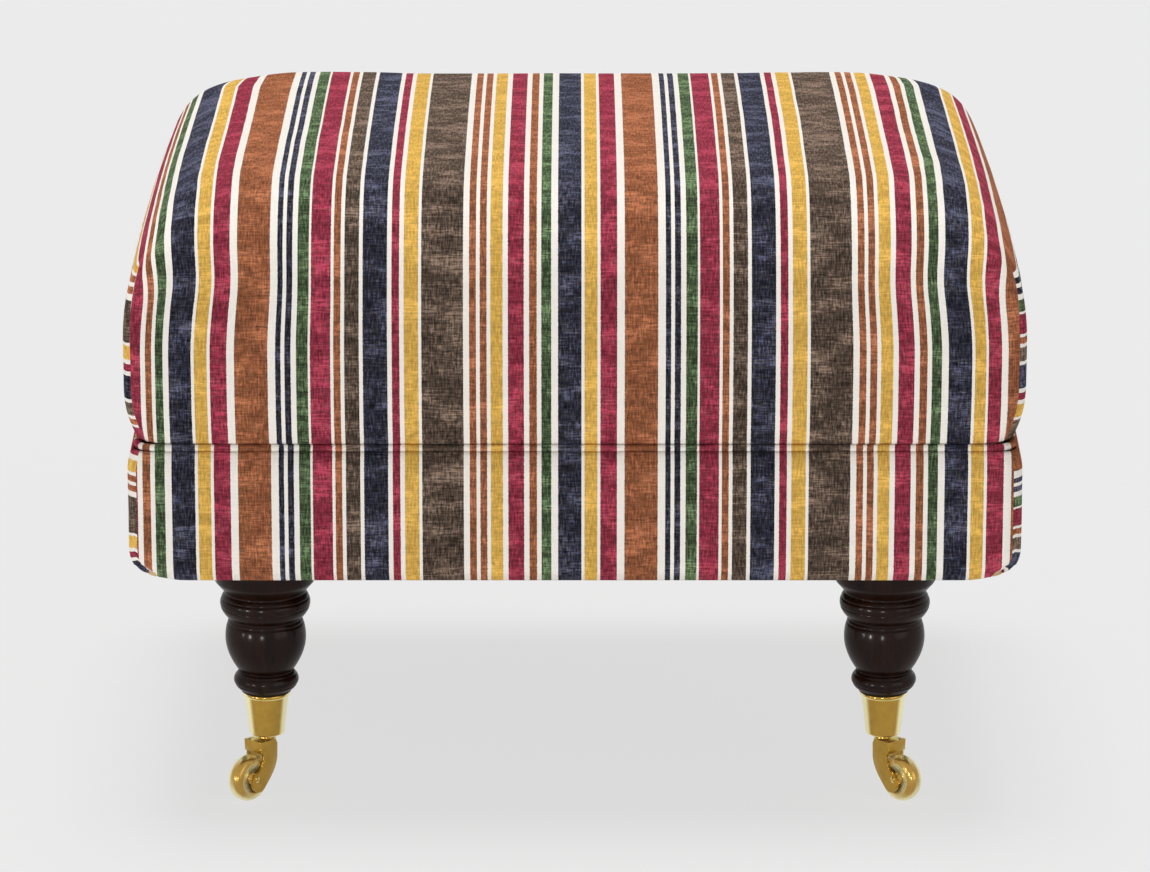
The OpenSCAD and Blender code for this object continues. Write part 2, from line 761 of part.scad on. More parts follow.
module washer(corner) {
    color(steel)
    in_castor(corner) translate([0, 0, washer_z]) difference() {
        cylinder(h = washer_t, r = pin_head_r + 1.2, $fn = 48);
        translate([0, 0, -cut]) cylinder(h = washer_t + 2 * cut, d = pin_d, $fn = 48);
    }
}

axle_head_t = 0.7;
module axle(corner) {
    color(brass)
    in_castor(corner) {
        along_axle(fork_w) cylinder(h = fork_w, d = axle_d, $fn = 32);
        for (side = [-1, 1]) along_axle(side * fork_w)
            mirror([0, 0, side > 0 ? 1 : 0])
                cylinder(h = axle_head_t, r1 = axle_d / 2 + 0.7, r2 = axle_d / 2 - 0.4, $fn = 32);
    }
}

// Wheel section from the hub's bore out to the tread, as [radius, distance from the middle]
function wheel_half() = let (r = wheel_d / 2, w = wheel_w / 2) [
    [r, 1], [r - 0.3, w - 2.8], [r - 0.9, w - 1.5], [r - 2, w - 0.7],
    [r - 3.5, w - 0.2], [r - 4.2, w], [r - 5.9, w], [r - 6.6, w - 0.4],
    [r - 9.6, w - 2], [axle_d / 2 + 2.7, w - 2.2], [axle_d / 2 + 2.2, w - 1.8],
    [axle_d / 2 + 1.8, w], [axle_d / 2 + running_gap, w]];

module wheel(corner) {
    half = wheel_half();
    last = len(half) - 1;
    outline = concat(half, [for (i = [last:-1:0]) [half[i][0], -half[i][1]]]);
    color(brass)
    in_castor(corner) along_axle(0) rotate_extrude($fn = 96) polygon(outline);
}

front_rail();
back_rail();
left_rail();
right_rail();
rail_dowels();
corner_block(front_left);  // corner_block_front_left
corner_block(front_right);  // corner_block_front_right
corner_block(back_left);  // corner_block_back_left
corner_block(back_right);  // corner_block_back_right
corner_block_screws();
long_webbing();
cross_webbing();
platform_cloth();
foam_core();
fibre_wrap();
cushion_cover();
piping();
tack_strip();
border_wadding();
border_front();
border_back();
border_left();
border_right();
dust_cover();
leg(front_left);  // leg_front_left
leg(front_right);  // leg_front_right
leg(back_left);  // leg_back_left
leg(back_right);  // leg_back_right
leg_bolts();
leg_nuts();
cup(front_left);  // cup_front_left
cup(front_right);  // cup_front_right
cup(back_left);  // cup_back_left
cup(back_right);  // cup_back_right
cup_screws();
fork(front_left);  // fork_front_left
fork(front_right);  // fork_front_right
fork(back_left);  // fork_back_left
fork(back_right);  // fork_back_right
swivel_pin(front_left);  // swivel_pin_front_left
swivel_pin(front_right);  // swivel_pin_front_right
swivel_pin(back_left);  // swivel_pin_back_left
swivel_pin(back_right);  // swivel_pin_back_right
washer(front_left);  // washer_front_left
washer(front_right);  // washer_front_right
washer(back_left);  // washer_back_left
washer(back_right);  // washer_back_right
axle(front_left);  // axle_front_left
axle(front_right);  // axle_front_right
axle(back_left);  // axle_back_left
axle(back_right);  // axle_back_right
wheel(front_left);  // wheel_front_left
wheel(front_right);  // wheel_front_right
wheel(back_left);  // wheel_back_left
wheel(back_right);  // wheel_back_right
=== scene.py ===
# Footstool: striped cloth, piping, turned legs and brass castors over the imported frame.
# Metres, +Z up, the front at -Y.
import bpy
import bmesh
import math
from mathutils import kdtree, Matrix, noise, Vector


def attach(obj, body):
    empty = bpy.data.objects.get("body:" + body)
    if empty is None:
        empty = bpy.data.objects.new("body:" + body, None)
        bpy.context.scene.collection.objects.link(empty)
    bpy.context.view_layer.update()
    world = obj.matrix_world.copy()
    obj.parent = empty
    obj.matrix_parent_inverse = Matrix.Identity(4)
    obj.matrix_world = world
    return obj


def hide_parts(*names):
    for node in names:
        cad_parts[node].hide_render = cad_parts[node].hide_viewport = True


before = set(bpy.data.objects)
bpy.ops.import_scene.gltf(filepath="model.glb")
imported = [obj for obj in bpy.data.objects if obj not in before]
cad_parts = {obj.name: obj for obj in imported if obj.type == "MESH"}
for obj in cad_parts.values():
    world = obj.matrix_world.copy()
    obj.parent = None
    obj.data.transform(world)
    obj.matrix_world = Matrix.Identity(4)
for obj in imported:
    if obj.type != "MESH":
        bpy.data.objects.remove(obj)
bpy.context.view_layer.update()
cornerNames = ["front_left", "front_right", "back_left", "back_right"]
print("frame loaded:", len(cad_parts), "nodes")

scene = bpy.context.scene
scene.view_settings.view_transform = "Standard"

# Camera at the photograph's angle: a long lens, a little above the seat
view = {"x": 0.0, "y": -4.2175, "z": 1.374, "pitchDown": 15.4, "focalPixels": 6000, "imageWidth": 1150}
cameraData = bpy.data.cameras.new("photoCamera")
cameraData.sensor_width = 36
cameraData.lens = 36 * view["focalPixels"] / view["imageWidth"]
cameraData.clip_end = 60
camera = bpy.data.objects.new("photoCamera", cameraData)
camera.location = (view["x"], view["y"], view["z"])
camera.rotation_euler = (math.radians(90 - view["pitchDown"]), 0, 0)
scene.collection.objects.link(camera)
scene.camera = camera
print("camera set")


# General helpers
def mix(a, b, t):
    return a + (b - a) * t


def smooth(t):
    t = min(1, max(0, t))
    return t * t * (3 - 2 * t)


def bezier(p, t):
    s = 1 - t
    return tuple(p[0][k] * s ** 3 + 3 * p[1][k] * t * s * s + 3 * p[2][k] * t * t * s + p[3][k] * t ** 3
                 for k in range(2))


def linear(hexColour):
    parts = [int(hexColour[i:i + 2], 16) / 255 for i in (1, 3, 5)]
    return [c / 12.92 if c <= 0.04045 else ((c + 0.055) / 1.055) ** 2.4 for c in parts] + [1]


def runningLengths(points):
    lengths = [0.0]
    for (x0, y0), (x1, y1) in zip(points, points[1:]):
        lengths.append(lengths[-1] + math.hypot(x1 - x0, y1 - y0))
    return lengths


# cushion_cover becomes cushionCover
def pieceName(node):
    first, *others = node.split("_")
    return first + "".join(word.capitalize() for word in others)


def addObject(name, mesh):
    piece = bpy.data.objects.new(name, mesh)
    scene.collection.objects.link(piece)
    return piece


# Makes the piece that stands for a node
def addPiece(node, bm, material, body, slotName, sharpAngle=40, name=None):
    name = name or pieceName(node)
    bmesh.ops.recalc_face_normals(bm, faces=bm.faces)
    mesh = bpy.data.meshes.new(name)
    bm.to_mesh(mesh)
    bm.free()
    mesh.materials.append(material)
    mesh.shade_smooth()
    mesh.set_sharp_from_angle(angle=math.radians(sharpAngle))
    piece = addObject(name, mesh)
    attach(piece, body)
    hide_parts(node)
    return piece


# Node helpers: sockets are linked where they are given a socket, and set where they are given a value
class NodeSheet:
    def __init__(self, tree):
        self.tree = tree

    def fill(self, node, inputs):
        for key, value in inputs.items():
            if isinstance(value, bpy.types.NodeSocket):
                self.tree.links.new(value, node.inputs[key])
            else:
                node.inputs[key].default_value = value

    def add(self, kind, inputs=None, **settings):
        node = self.tree.nodes.new(kind)
        for key, value in settings.items():
            setattr(node, key, value)
        self.fill(node, inputs or {})
        return node

    def result(self, kind, inputs=None, **settings):
        return self.add(kind, inputs, **settings).outputs[0]

    def form(self, kind, inputs=None, **settings):
        return self.result("GeometryNode" + kind, inputs, **settings)

    def calc(self, operation, *values):
        return self.result("ShaderNodeMath", dict(enumerate(values)), operation=operation)

    def plus(self, a, b):
        return self.calc("ADD", a, b)

    def minus(self, a, b):
        return self.calc("SUBTRACT", a, b)

    def times(self, a, b):
        return self.calc("MULTIPLY", a, b)

    def greatest(self, a, b):
        return self.calc("MAXIMUM", a, b)

    def range(self, value, lo, hi, outLo=0.0, outHi=1.0):
        return self.result("ShaderNodeMapRange", dict(enumerate((value, lo, hi, outLo, outHi))))

    def split(self, vector):
        return self.add("ShaderNodeSeparateXYZ", {0: vector}).outputs

    def scaled(self, vector, scale):
        return self.result("ShaderNodeVectorMath", {0: vector, 1: scale}, operation="MULTIPLY")

    def vector(self, x=0.0, y=0.0, z=0.0):
        return self.result("ShaderNodeCombineXYZ", {0: x, 1: y, 2: z})

    def noise(self, vector, x, y, z=1.0, detail=2.0, rough=0.5):
        place = self.scaled(vector, self.vector(x, y, z))
        inputs = {"Vector": place, "Scale": 1.0, "Detail": detail, "Roughness": rough}
        return self.add("ShaderNodeTexNoise", inputs).outputs["Fac"]

    def blend(self, factor, a, b):
        return self.add("ShaderNodeMix", {0: factor, 6: a, 7: b}, data_type="RGBA").outputs[2]

    def turnedAway(self):
        return self.add("ShaderNodeLayerWeight", {"Blend": 0.5}).outputs["Facing"]

    def onObject(self):
        return self.add("ShaderNodeTexCoord").outputs["Object"]


# Sockets are given as name, kind and a first value
def newTree(kind, name, inputs, outputs):
    tree = bpy.data.node_groups.new(name, kind)
    for way, sockets in (("INPUT", inputs), ("OUTPUT", outputs)):
        for socketName, socketKind, *start in sockets:
            socket = tree.interface.new_socket(socketName, in_out=way, socket_type="NodeSocket" + socketKind)
            if start:
                socket.default_value = start[0]
    sheet = NodeSheet(tree)
    return tree, sheet, sheet.add("NodeGroupInput").outputs, sheet.add("NodeGroupOutput")


def newMaterial(name):
    material = bpy.data.materials.new(name)
    material.use_nodes = True
    return material, NodeSheet(material.node_tree), material.node_tree.nodes["Principled BSDF"]


def addGroup(sheet, tree, **values):
    return sheet.add("ShaderNodeGroup", values, node_tree=tree).outputs


def bump(sheet, shader, height, strength, distance):
    normal = sheet.result("ShaderNodeBump", {"Strength": strength, "Distance": distance, "Height": height})
    sheet.fill(shader, {"Normal": normal})


# Weave group: crossing threads, uneven yarn and paler patches, in the directions of a surface's U and V
def buildWeaveGroup():
    tree, s, gin, gout = newTree(
        "ShaderNodeTree", "threadWeave", [("Vector", "Vector"), ("Thread", "Float", 0.0011)],
        [(name, "Float") for name in ("Height", "Warp", "Weft", "Patches", "Flecks")])
    vector = gin["Vector"]
    place = s.split(vector)
    turns = s.calc("DIVIDE", 2 * math.pi, gin["Thread"])
    across = s.calc("SINE", s.times(place[0], turns))
    along = s.calc("SINE", s.times(place[1], turns))
    warp = s.noise(vector, 820, 130, rough=0.7)
    weft = s.noise(vector, 90, 760, rough=0.7)
    slubs = s.greatest(s.noise(vector, 75, 820, detail=1.0), s.noise(vector, 860, 110, detail=1.0))
    patches = s.range(s.noise(vector, 32, 58, detail=4.0, rough=0.62), 0.46, 0.66)
    s.fill(gout, {
        "Height": s.plus(s.times(s.times(across, along), 0.25), s.times(s.plus(warp, weft), 0.6)),
        "Warp": warp,
        "Weft": weft,
        "Patches": s.times(patches, s.range(weft, 0.36, 0.62, 0.45, 1.15)),
        "Flecks": s.times(s.range(slubs, 0.5, 0.72), s.range(patches, 0.0, 1.0, 0.3, 1.0)),
    })
    return tree


# Grain group: rings and pores that run along Z of the vector it is given
def buildGrainGroup():
    tree, s, gin, gout = newTree(
        "ShaderNodeTree", "woodGrain", [("Vector", "Vector"), ("Scale", "Float", 1.0)],
        [("Rings", "Float"), ("Pores", "Float")])
    vector = gin["Vector"]
    wide, long, fine, streak = (s.times(gin["Scale"], factor) for factor in (140.0, 9.0, 900.0, 45.0))
    s.fill(gout, {"Rings": s.noise(vector, wide, wide, long, detail=4.0, rough=0.62),
                  "Pores": s.range(s.noise(vector, fine, fine, streak), 0.56, 0.7)})
    return tree


# Handling group: faint smears and hair scratches on polished metal
def buildHandlingGroup():
    tree, s, gin, gout = newTree("ShaderNodeTree", "metalHandling", [("Vector", "Vector")],
                                 [("Smears", "Float"), ("Scratches", "Float")])
    vector = gin["Vector"]
    s.fill(gout, {"Smears": s.noise(vector, 120, 120, 120, detail=4.0, rough=0.6),
                  "Scratches": s.noise(vector, 300, 2400, 300)})
    return tree


weaveGroup = buildWeaveGroup()
grainGroup = buildGrainGroup()
handlingGroup = buildHandlingGroup()

# Striped cloth: one repeat of coloured bands, then the yarn's own tones over it
stripes = {
    "startX": -0.2321,          # where a repeat begins on the front
    "millimetresPerUnit": 0.68966,
    "colours": {"rust": "#9c5f40", "cream": "#f6f1e8", "navy": "#363848", "green": "#506445",
                "crimson": "#973448", "brown": "#605045", "yellow": "#daad52"},
    # colour, width, and width of the cream line after it
    "bands": [("rust", 33, 7), ("navy", 5.5, 4), ("navy", 6, 5), ("green", 11.3, 2.7), ("crimson", 19, 3.5),
              ("rust", 6.5, 3.7), ("brown", 14.3, 3.8), ("navy", 24.2, 4.5), ("crimson", 8, 4),
              ("yellow", 14.2, 3.3), ("brown", 41.2, 6.6), ("rust", 6.2, 4), ("rust", 7, 3.7),
              ("yellow", 11.8, 5.5), ("crimson", 15.5, 5.5), ("rust", 7.3, 4.7), ("green", 10, 6.7),
              ("navy", 23.6, 3.2), ("yellow", 12.5, 3.3), ("crimson", 16, 8.2)],
    "thread": 0.00115, "roughness": 0.95, "specular": 0.06,
    "edgeWander": 0.00036,      # how far a band's edge strays with the yarn
    # lower is paler; the sheen value is a painted sheen that pales the cloth where it turns away from the eye
    "gamma": {"plain": 1.25, "patch": 0.54, "warp": 2.0, "weft": 1.3, "paintedSheen": 0.16, "palest": 0.62,
              "deepest": 1.7, "uneven": 0.2},
    "fleck": {"colour": "#e2cdb8", "share": 0.09},
}


def fillRamp(ramp, stops):
    ramp.interpolation = "CONSTANT"
    while len(ramp.elements) > 1:
        ramp.elements.remove(ramp.elements[-1])
    for i, (place, colour) in enumerate(stops):
        element = ramp.elements[0] if i == 0 else ramp.elements.new(place)
        element.position = place
        element.color = colour


# A ramp holds 32 stops at most, so each half of the repeat has its own
def bandStops(c):
    bands = [band for name, width, line in c["bands"] for band in ((name, width), ("cream", line))]
    total = sum(width for _, width in bands)
    first, second = [], []
    place = 0.0
    for name, width in bands:
        start, end = place / total, (place + width) / total
        colour = linear(c["colours"][name])
        if start < 0.5:
            first.append((start * 2, colour))
        if end > 0.5:
            second.append((max(0.0, start * 2 - 1), colour))
        place += width
    return first, second, total * c["millimetresPerUnit"] / 1000


def buildStripedCloth():
    c, g = stripes, stripes["gamma"]
    first, second, repeat = bandStops(c)
    material, s, shader = newMaterial("stripedCloth")
    uv = s.result("ShaderNodeUVMap", uv_map="UVMap")
    weave = addGroup(s, weaveGroup, Vector=uv, Thread=c["thread"])
    wander = s.minus(s.noise(uv, 900, 1100, detail=1.0), 0.5)
    u = s.plus(s.split(uv)[0], s.times(wander, c["edgeWander"] * 2))
    along = s.calc("FRACT", s.calc("DIVIDE", s.minus(u, c["startX"] - 8 * repeat), repeat))
    doubled = s.times(along, 2.0)
    halves = []
    for stops, place in ((first, doubled), (second, s.minus(doubled, 1.0))):
        ramp = s.add("ShaderNodeValToRGB", {0: place})
        fillRamp(ramp.color_ramp, stops)
        halves.append(ramp.outputs[0])
    band = s.blend(s.calc("GREATER_THAN", along, 0.5), *halves)
    hue, depth, value = s.add("ShaderNodeSeparateColor", {0: band}, mode="HSV").outputs
    yarn = s.plus(*(s.times(s.minus(weave[way], 0.5), g[way.lower()]) for way in ("Warp", "Weft")))
    # painted sheen: the tones are paled where the surface turns away from the eye, in place of the yarn's
    # sheen of light
    sheenPaling = s.range(s.turnedAway(), 0.3, 0.78, 0.0, g["paintedSheen"])
    power = s.minus(s.minus(g["plain"], s.times(weave["Patches"], g["patch"])), yarn)
    power = s.greatest(s.minus(power, sheenPaling), g["palest"])
    dyed = s.range(depth, 0.15, 0.4)        # the cream bands aren't dyed and stay even
    uneven = s.times(dyed, s.range(power, g["palest"], g["deepest"], g["uneven"], -g["uneven"]))
    value = s.times(s.calc("POWER", value, power), s.plus(uneven, 1.0))
    tone = s.result("ShaderNodeCombineColor", {0: hue, 1: depth, 2: value}, mode="HSV")
    flecks = s.times(weave["Flecks"], c["fleck"]["share"])
    s.fill(shader, {"Base Color": s.blend(flecks, tone, linear(c["fleck"]["colour"])),
                    "Roughness": c["roughness"], "Specular IOR Level": c["specular"]})
    bump(s, shader, weave["Height"], 0.5, 0.0005)
    return material


stripedCloth = buildStripedCloth()
print("striped cloth mixed")

# Turned wood: a dark stain under gloss lacquer
darkWood = {"low": "#120805", "high": "#27130a", "pores": "#120b08", "poresShare": 0.5, "ringsFull": 0.72,
            "grainWay": (1.0, 1.0, 1.0), "scale": 1.0, "roughness": 0.3, "uneven": 0.1,
            "specular": 0.04, "coat": 0.19, "coatRoughness": 0.15, "relief": (0.12, 0.0003)}
# Plain beech for the hidden frame, with its grain along the long rails
paleWood = {"low": "#d2b184", "high": "#b88f5e", "pores": "#8d6a43", "poresShare": 0.35, "ringsFull": 0.7,
            "grainWay": (0.12, 1.0, 1.0), "scale": 0.5, "roughness": 0.62, "uneven": 0.0,
            "specular": 0.5, "coat": 0.0, "coatRoughness": 0.03, "relief": (0.15, 0.0004)}


def buildWood(name, c):
    material, s, shader = newMaterial(name)
    grain = addGroup(s, grainGroup, Vector=s.scaled(s.onObject(), c["grainWay"]), Scale=c["scale"])
    wood = s.blend(s.range(grain["Rings"], 0.3, c["ringsFull"]), linear(c["low"]), linear(c["high"]))
    rough = c["roughness"]
    if c["uneven"]:
        rough = s.range(grain["Rings"], 0.3, 0.7, rough, rough + c["uneven"])
    s.fill(shader, {
        "Base Color": s.blend(s.times(grain["Pores"], c["poresShare"]), wood, linear(c["pores"])),
        "Roughness": rough, "Specular IOR Level": c["specular"], "Coat Weight": c["coat"],
        "Coat Roughness": c["coatRoughness"]})
    bump(s, shader, grain["Rings"], *c["relief"])
    return material


# Metals: brass is deep gold where it faces the eye, with a painted highlight of pale colour along its turning
# edges
# the edge colour is a painted highlight, mixed in where the brass turns away from the eye
brass = {"face": "#ba933f", "dull": "#a98537", "edge": "#fff6bc", "roughness": 0.15, "smear": 0.05,
         "metal": 0.82}
metals = {
    "polishedBrass": dict(brass, paintedGlintBand=(0.33, 0.5)),
    "castBrass": dict(brass, paintedGlintBand=(0.42, 0.7)),
    "rolledBrass": dict(brass, face="#c69e4a", dull="#b88f40", paintedGlintBand=(0.26, 0.5), metal=0.55),
    "zincSteel": {"face": "#b9bcc0", "dull": "#8d9095", "roughness": 0.3, "smear": 0.14, "metal": 1.0},
}


def buildMetal(name):
    c = metals[name]
    material, s, shader = newMaterial(name)
    handling = addGroup(s, handlingGroup, Vector=s.onObject())
    smears = s.range(handling["Smears"], 0.35, 0.7)
    colour = s.blend(smears, linear(c["face"]), linear(c["dull"]))
    # painted highlight: the pale edge colour is laid where the surface turns away from the eye
    if "paintedGlintBand" in c:
        colour = s.blend(s.range(s.turnedAway(), *c["paintedGlintBand"]), colour, linear(c["edge"]))
    rough = s.plus(s.range(smears, 0, 1, c["roughness"], c["roughness"] + c["smear"]),
                   s.range(handling["Scratches"], 0.55, 0.75, 0.0, 0.04))
    s.fill(shader, {"Base Color": colour, "Roughness": rough, "Metallic": c["metal"]})
    bump(s, shader, handling["Scratches"], 0.03, 0.0001)
    return material


def buildPlainCloth(name, base, fleck, thread, roughness=0.92):
    material, s, shader = newMaterial(name)
    weave = addGroup(s, weaveGroup, Vector=s.onObject(), Thread=thread)
    yarn = s.blend(s.range(weave["Weft"], 0.45, 0.7, 0.0, 0.5), linear(base), linear(fleck))
    s.fill(shader, {"Base Color": s.blend(s.times(weave["Patches"], 0.3), yarn, linear(fleck)),
                    "Roughness": roughness})
    bump(s, shader, weave["Height"], 0.5, 0.0005)
    return material


def buildSoftFill(name, base, shade, scale, roughness=0.95):
    material, s, shader = newMaterial(name)
    vector = s.onObject()
    cells = s.result("ShaderNodeTexVoronoi", {"Vector": vector, "Scale": scale})
    cloud = s.noise(vector, 30, 30, 30, detail=4.0, rough=0.6)
    s.fill(shader, {"Base Color": s.blend(s.range(cloud, 0.3, 0.75), linear(base), linear(shade)),
                    "Roughness": roughness})
    bump(s, shader, cells, 0.6, 0.0008)
    return material


espressoWood = buildWood("espressoWood", darkWood)
polishedBrass, castBrass, rolledBrass, zincSteel = (buildMetal(name) for name in metals)
beechWood = buildWood("beech", paleWood)
webbingCloth = buildPlainCloth("webbing", "#26262a", "#5a5a60", 0.0022)
hessian = buildPlainCloth("hessian", "#a98c5c", "#cdb588", 0.002)
dustCloth = buildPlainCloth("dustCloth", "#1d1d20", "#38383c", 0.0009)
foamFill = buildSoftFill("seatFoam", "#dfe6ea", "#ccd6dc", 900)
fibreFill = buildSoftFill("fibreFill", "#f4f4f1", "#e4e4e0", 420)
pressedCard = buildSoftFill("pressedCard", "#b8a684", "#a3916f", 1500)
print("materials mixed")

# The cushion: its section and plan repeat the named sizes of the part's source
pad = {
    "halfWidth": 0.3102, "halfDepth": 0.241, "baseZ": 0.271, "topZ": 0.450, "sideBow": 0.003,
    "seamDraw": 0.0074, "swell": 0.040, "tuck": 0.0006, "tuckH": 0.0012,
    "shoulderH": 0.105, "shoulderW": 0.075, "shoulderLean": 0.0012, "shoulderBend": 0.47, "crownBend": 0.33,
    "crownRise": 0.0047, "crownEnd": 0.006, "cornerR": 0.015, "crownCornerR": 0.053, "roundedBy": 0.054,
    "seamHeights": (0.0, 0.0006, 0.0012, 0.002, 0.003), "sectionSteps": (9, 7, 34, 16),
    "longSteps": 84, "shortSteps": 64, "cornerSteps": 28, "softness": 0.0009,
    "dartTop": 0.392, "dartDepth": 0.0013, "dartWidth": 0.0018, "dimple": 0.0006, "dimpleR": 0.007,
    "seamLow": 45, "seamHigh": 66,         # degrees round the corner, below and above the dart's turn
}


# Half a section from the seam to the middle, as inset and height: seam, swelling side, shoulder, crown
def padSection(p, fine=1.0):
    height = p["topZ"] - p["baseZ"]
    shoulderStart = height - p["shoulderH"]
    crown = height - p["crownRise"]
    w = p["shoulderW"]
    curve = [(0.0, shoulderStart), (p["shoulderLean"], height - p["shoulderH"] * p["shoulderBend"]),
             (w * p["crownBend"], crown), (w, crown)]
    swellSteps, sideSteps, shoulderSteps, crownSteps = (max(2, round(n * fine)) for n in p["sectionSteps"])
    points = []
    lows = list(p["seamHeights"]) if fine == 1.0 else [0.0]
    for h in lows + [p["swell"] * i / swellSteps for i in range(1, swellSteps)]:
        tuck = p["tuck"] * math.exp(-(h / p["tuckH"]) ** 2) if fine == 1.0 else 0.0
        points.append((p["seamDraw"] * (1 - h / p["swell"]) ** 2 + tuck, h))
    points += [(0.0, mix(p["swell"], shoulderStart, i / sideSteps)) for i in range(sideSteps)]
    points += [bezier(curve, i / shoulderSteps) for i in range(shoulderSteps + 1)]
    last = p["halfDepth"] - p["crownEnd"]
    for i in range(1, crownSteps + 1):
        inset = mix(w, last, i / crownSteps)
        points.append((inset, height - p["crownRise"] * ((last - inset) / (last - w)) ** 2))
    return points


# A point of the plan: place, angle away from the front or back face, and lengths along the outline
def planRing(a, b, r, longSteps, shortSteps, cornerSteps, seam=math.pi / 4):
    points = []
    for sx, sy in ((1, 1), (-1, 1), (-1, -1), (1, -1)):
        toLong = sx == sy      # each corner leads on to a long side or a short one
        for i in range(cornerSteps + 1):
            t = (cornerSteps - i if toLong else i) / cornerSteps
            # 0 faces front or back, 90 degrees faces a side; the middle column lies on the seam
            theta = seam * t * 2 if t <= 0.5 else mix(seam, math.pi / 2, t * 2 - 1)
            x, y = a - r + r * math.sin(theta), b - r + r * math.cos(theta)
            points.append((sx * x, sy * y, theta, a - r + r * theta, b - r + r * (math.pi / 2 - theta)))
        steps = longSteps if toLong else shortSteps
        for i in range(1, steps):
            t = i / steps
            x, y = (mix(a - r, r - a, t), b) if toLong else (a, mix(b - r, r - b, t))
            points.append((sx * x, sy * y, 0.0 if toLong else math.pi / 2, abs(x), abs(y)))
    return points


def bowedX(x, y, a, b, bow):
    return x + math.copysign(bow, x) * (1 - (y / b) ** 2) * min(1, abs(x) / a)


# Moves a point square to the outline, away from the middle of the stool
def movedOut(x, y, theta, distance):
    return (x + math.copysign(1, x) * (distance * math.sin(theta)),
            y + math.copysign(1, y) * (distance * math.cos(theta)))


def seamAngle(p, z):
    return math.radians(mix(p["seamLow"], p["seamHigh"], smooth((z - 0.345) / 0.055)))


# Rings of the cushion at a depth under the cover, with how far each lies along the two sections
def padRings(p, skin=0.0, baseZ=None, fine=1.0):
    base = p["baseZ"] if baseZ is None else baseZ
    squeeze = (p["topZ"] - skin - base) / (p["topZ"] - p["baseZ"])
    section = [(inset, base + h * squeeze) for inset, h in padSection(p, fine)]
    lengths = runningLengths(section[::-1])[::-1]
    steps = (round(p["longSteps"] * fine), round(p["shortSteps"] * fine),
             max(4, 2 * round(p["cornerSteps"] * fine / 2)))
    topInset = section[-1][0]
    rings = []
    for (inset, z), length in zip(section, lengths):
        deep = inset + skin
        a, b = p["halfWidth"] - deep, p["halfDepth"] - deep
        r = min(mix(p["cornerR"], p["crownCornerR"], min(1, inset / p["roundedBy"]) ** 0.92), b * 0.9)
        rise = min(1, (z - base) / p["swell"])
        rings.append({"a": a, "b": b, "r": r, "z": z,
                      "bow": p["sideBow"] * (1 - inset / p["halfWidth"]) * rise,
                      "alongX": p["halfWidth"] - topInset + length,
                      "alongY": p["halfDepth"] - topInset + length,
                      "points": planRing(a, b, r, *steps, seamAngle(p, z))})
    return rings


def coverPoint(p, ring, point):
    x, y, theta = point[:3]
    x = bowedX(x, y, ring["a"], ring["b"], ring["bow"])
    z = ring["z"]
    where = Vector((x, y, z))
    soft = noise.noise(where * 9.0) * 0.65 + noise.noise(where * 24.0) * 0.35
    if p["softness"]:
        push = p["softness"] * soft * smooth((z - p["baseZ"]) / 0.02)
        x, y = movedOut(x, y, theta, abs(push))
        z += push * smooth((z - 0.41) / 0.03)
    # the dart: a narrow valley down each corner, with a dimple where it starts
    if p["dartDepth"] and 0 < theta < math.pi / 2:
        off = (theta - seamAngle(p, z)) * ring["r"]
        valley = math.exp(-(off / p["dartWidth"]) ** 2) * smooth((p["dartTop"] - ring["z"]) / 0.008 + 1)
        valley *= smooth((ring["z"] - p["baseZ"] - 0.001) / 0.014)
        dimple = math.exp(-(off / p["dimpleR"]) ** 2 - ((ring["z"] - p["dartTop"]) / p["dimpleR"]) ** 2)
        x, y = movedOut(x, y, theta, -(p["dartDepth"] * valley + p["dimple"] * dimple))
    return Vector((x, y, z))


# How the cloth lies: one width goes over the top and down all four faces, with a dart at each corner
lay = {
    "turnFrom": 0.62,                                               # radians round the corner
    "sideSplit": (0.004, 0.009), "frontSplit": (0.012, 0.034),      # height over the dart's top, and reach
    "shoulderShift": 0.006, "bulge": 0.0015, "pinch": 0.0012, "dartPinch": 0.0017, "crowding": 0.0048,
    "backLeft": 0.006, "backRight": 0.003,
}


def coverUv(p, ring, point, onSide):
    x, y, theta, arcX, arcY = point
    z = ring["z"]
    over, reach = lay["sideSplit" if onSide else "frontSplit"]
    split = smooth((p["dartTop"] + (over - z)) / reach)
    round90 = smooth((theta - lay["turnFrom"]) / (math.pi / 2 - lay["turnFrom"]))
    weight = mix(round90, 1.0 if onSide else 0.0, split)
    extraX, extraY = ring["alongX"] - ring["a"], ring["alongY"] - ring["b"]
    upper = (abs(x) + weight * extraX, abs(y) + (1 - weight) * extraY)
    lower = (mix(arcX, ring["alongX"], weight), mix(ring["alongY"], arcY, weight))
    u, v = (mix(upper[k], lower[k], split) for k in (0, 1))
    u -= lay["shoulderShift"] * weight * smooth((ring["alongX"] - p["halfWidth"] + p["shoulderW"]) / 0.12)
    # low on the front the padding pushes the bands out; above that and at the corners the darts draw them in
    high = smooth((z - 0.335) / 0.05)
    out = lay["bulge"] * smooth((abs(x) - 0.13) / 0.09) * (1 - high)
    pinch = lay["pinch"] * high + lay["dartPinch"] * math.exp(-((z - 0.389) / 0.016) ** 2)
    drawn = pinch * smooth((abs(x) - 0.17) / 0.11) * smooth((0.449 - z) / 0.012)
    crowded = lay["crowding"] * smooth((abs(x) - 0.274) / 0.024) * split
    back = lay["backLeft" if x < 0 else "backRight"] * smooth((abs(x) - 0.18) / 0.1)
    back *= smooth((y - 0.02) / 0.17) * smooth((z - 0.40) / 0.03)
    u += (drawn - out + crowded) * (1 - weight) + back * (1 - weight) * (1 - split)
    bowed = abs(bowedX(x, y, ring["a"], ring["b"], ring["bow"])) - abs(x)
    u += bowed * smooth((z - 0.425) / 0.015)
    return math.copysign(u, x), math.copysign(v, y)


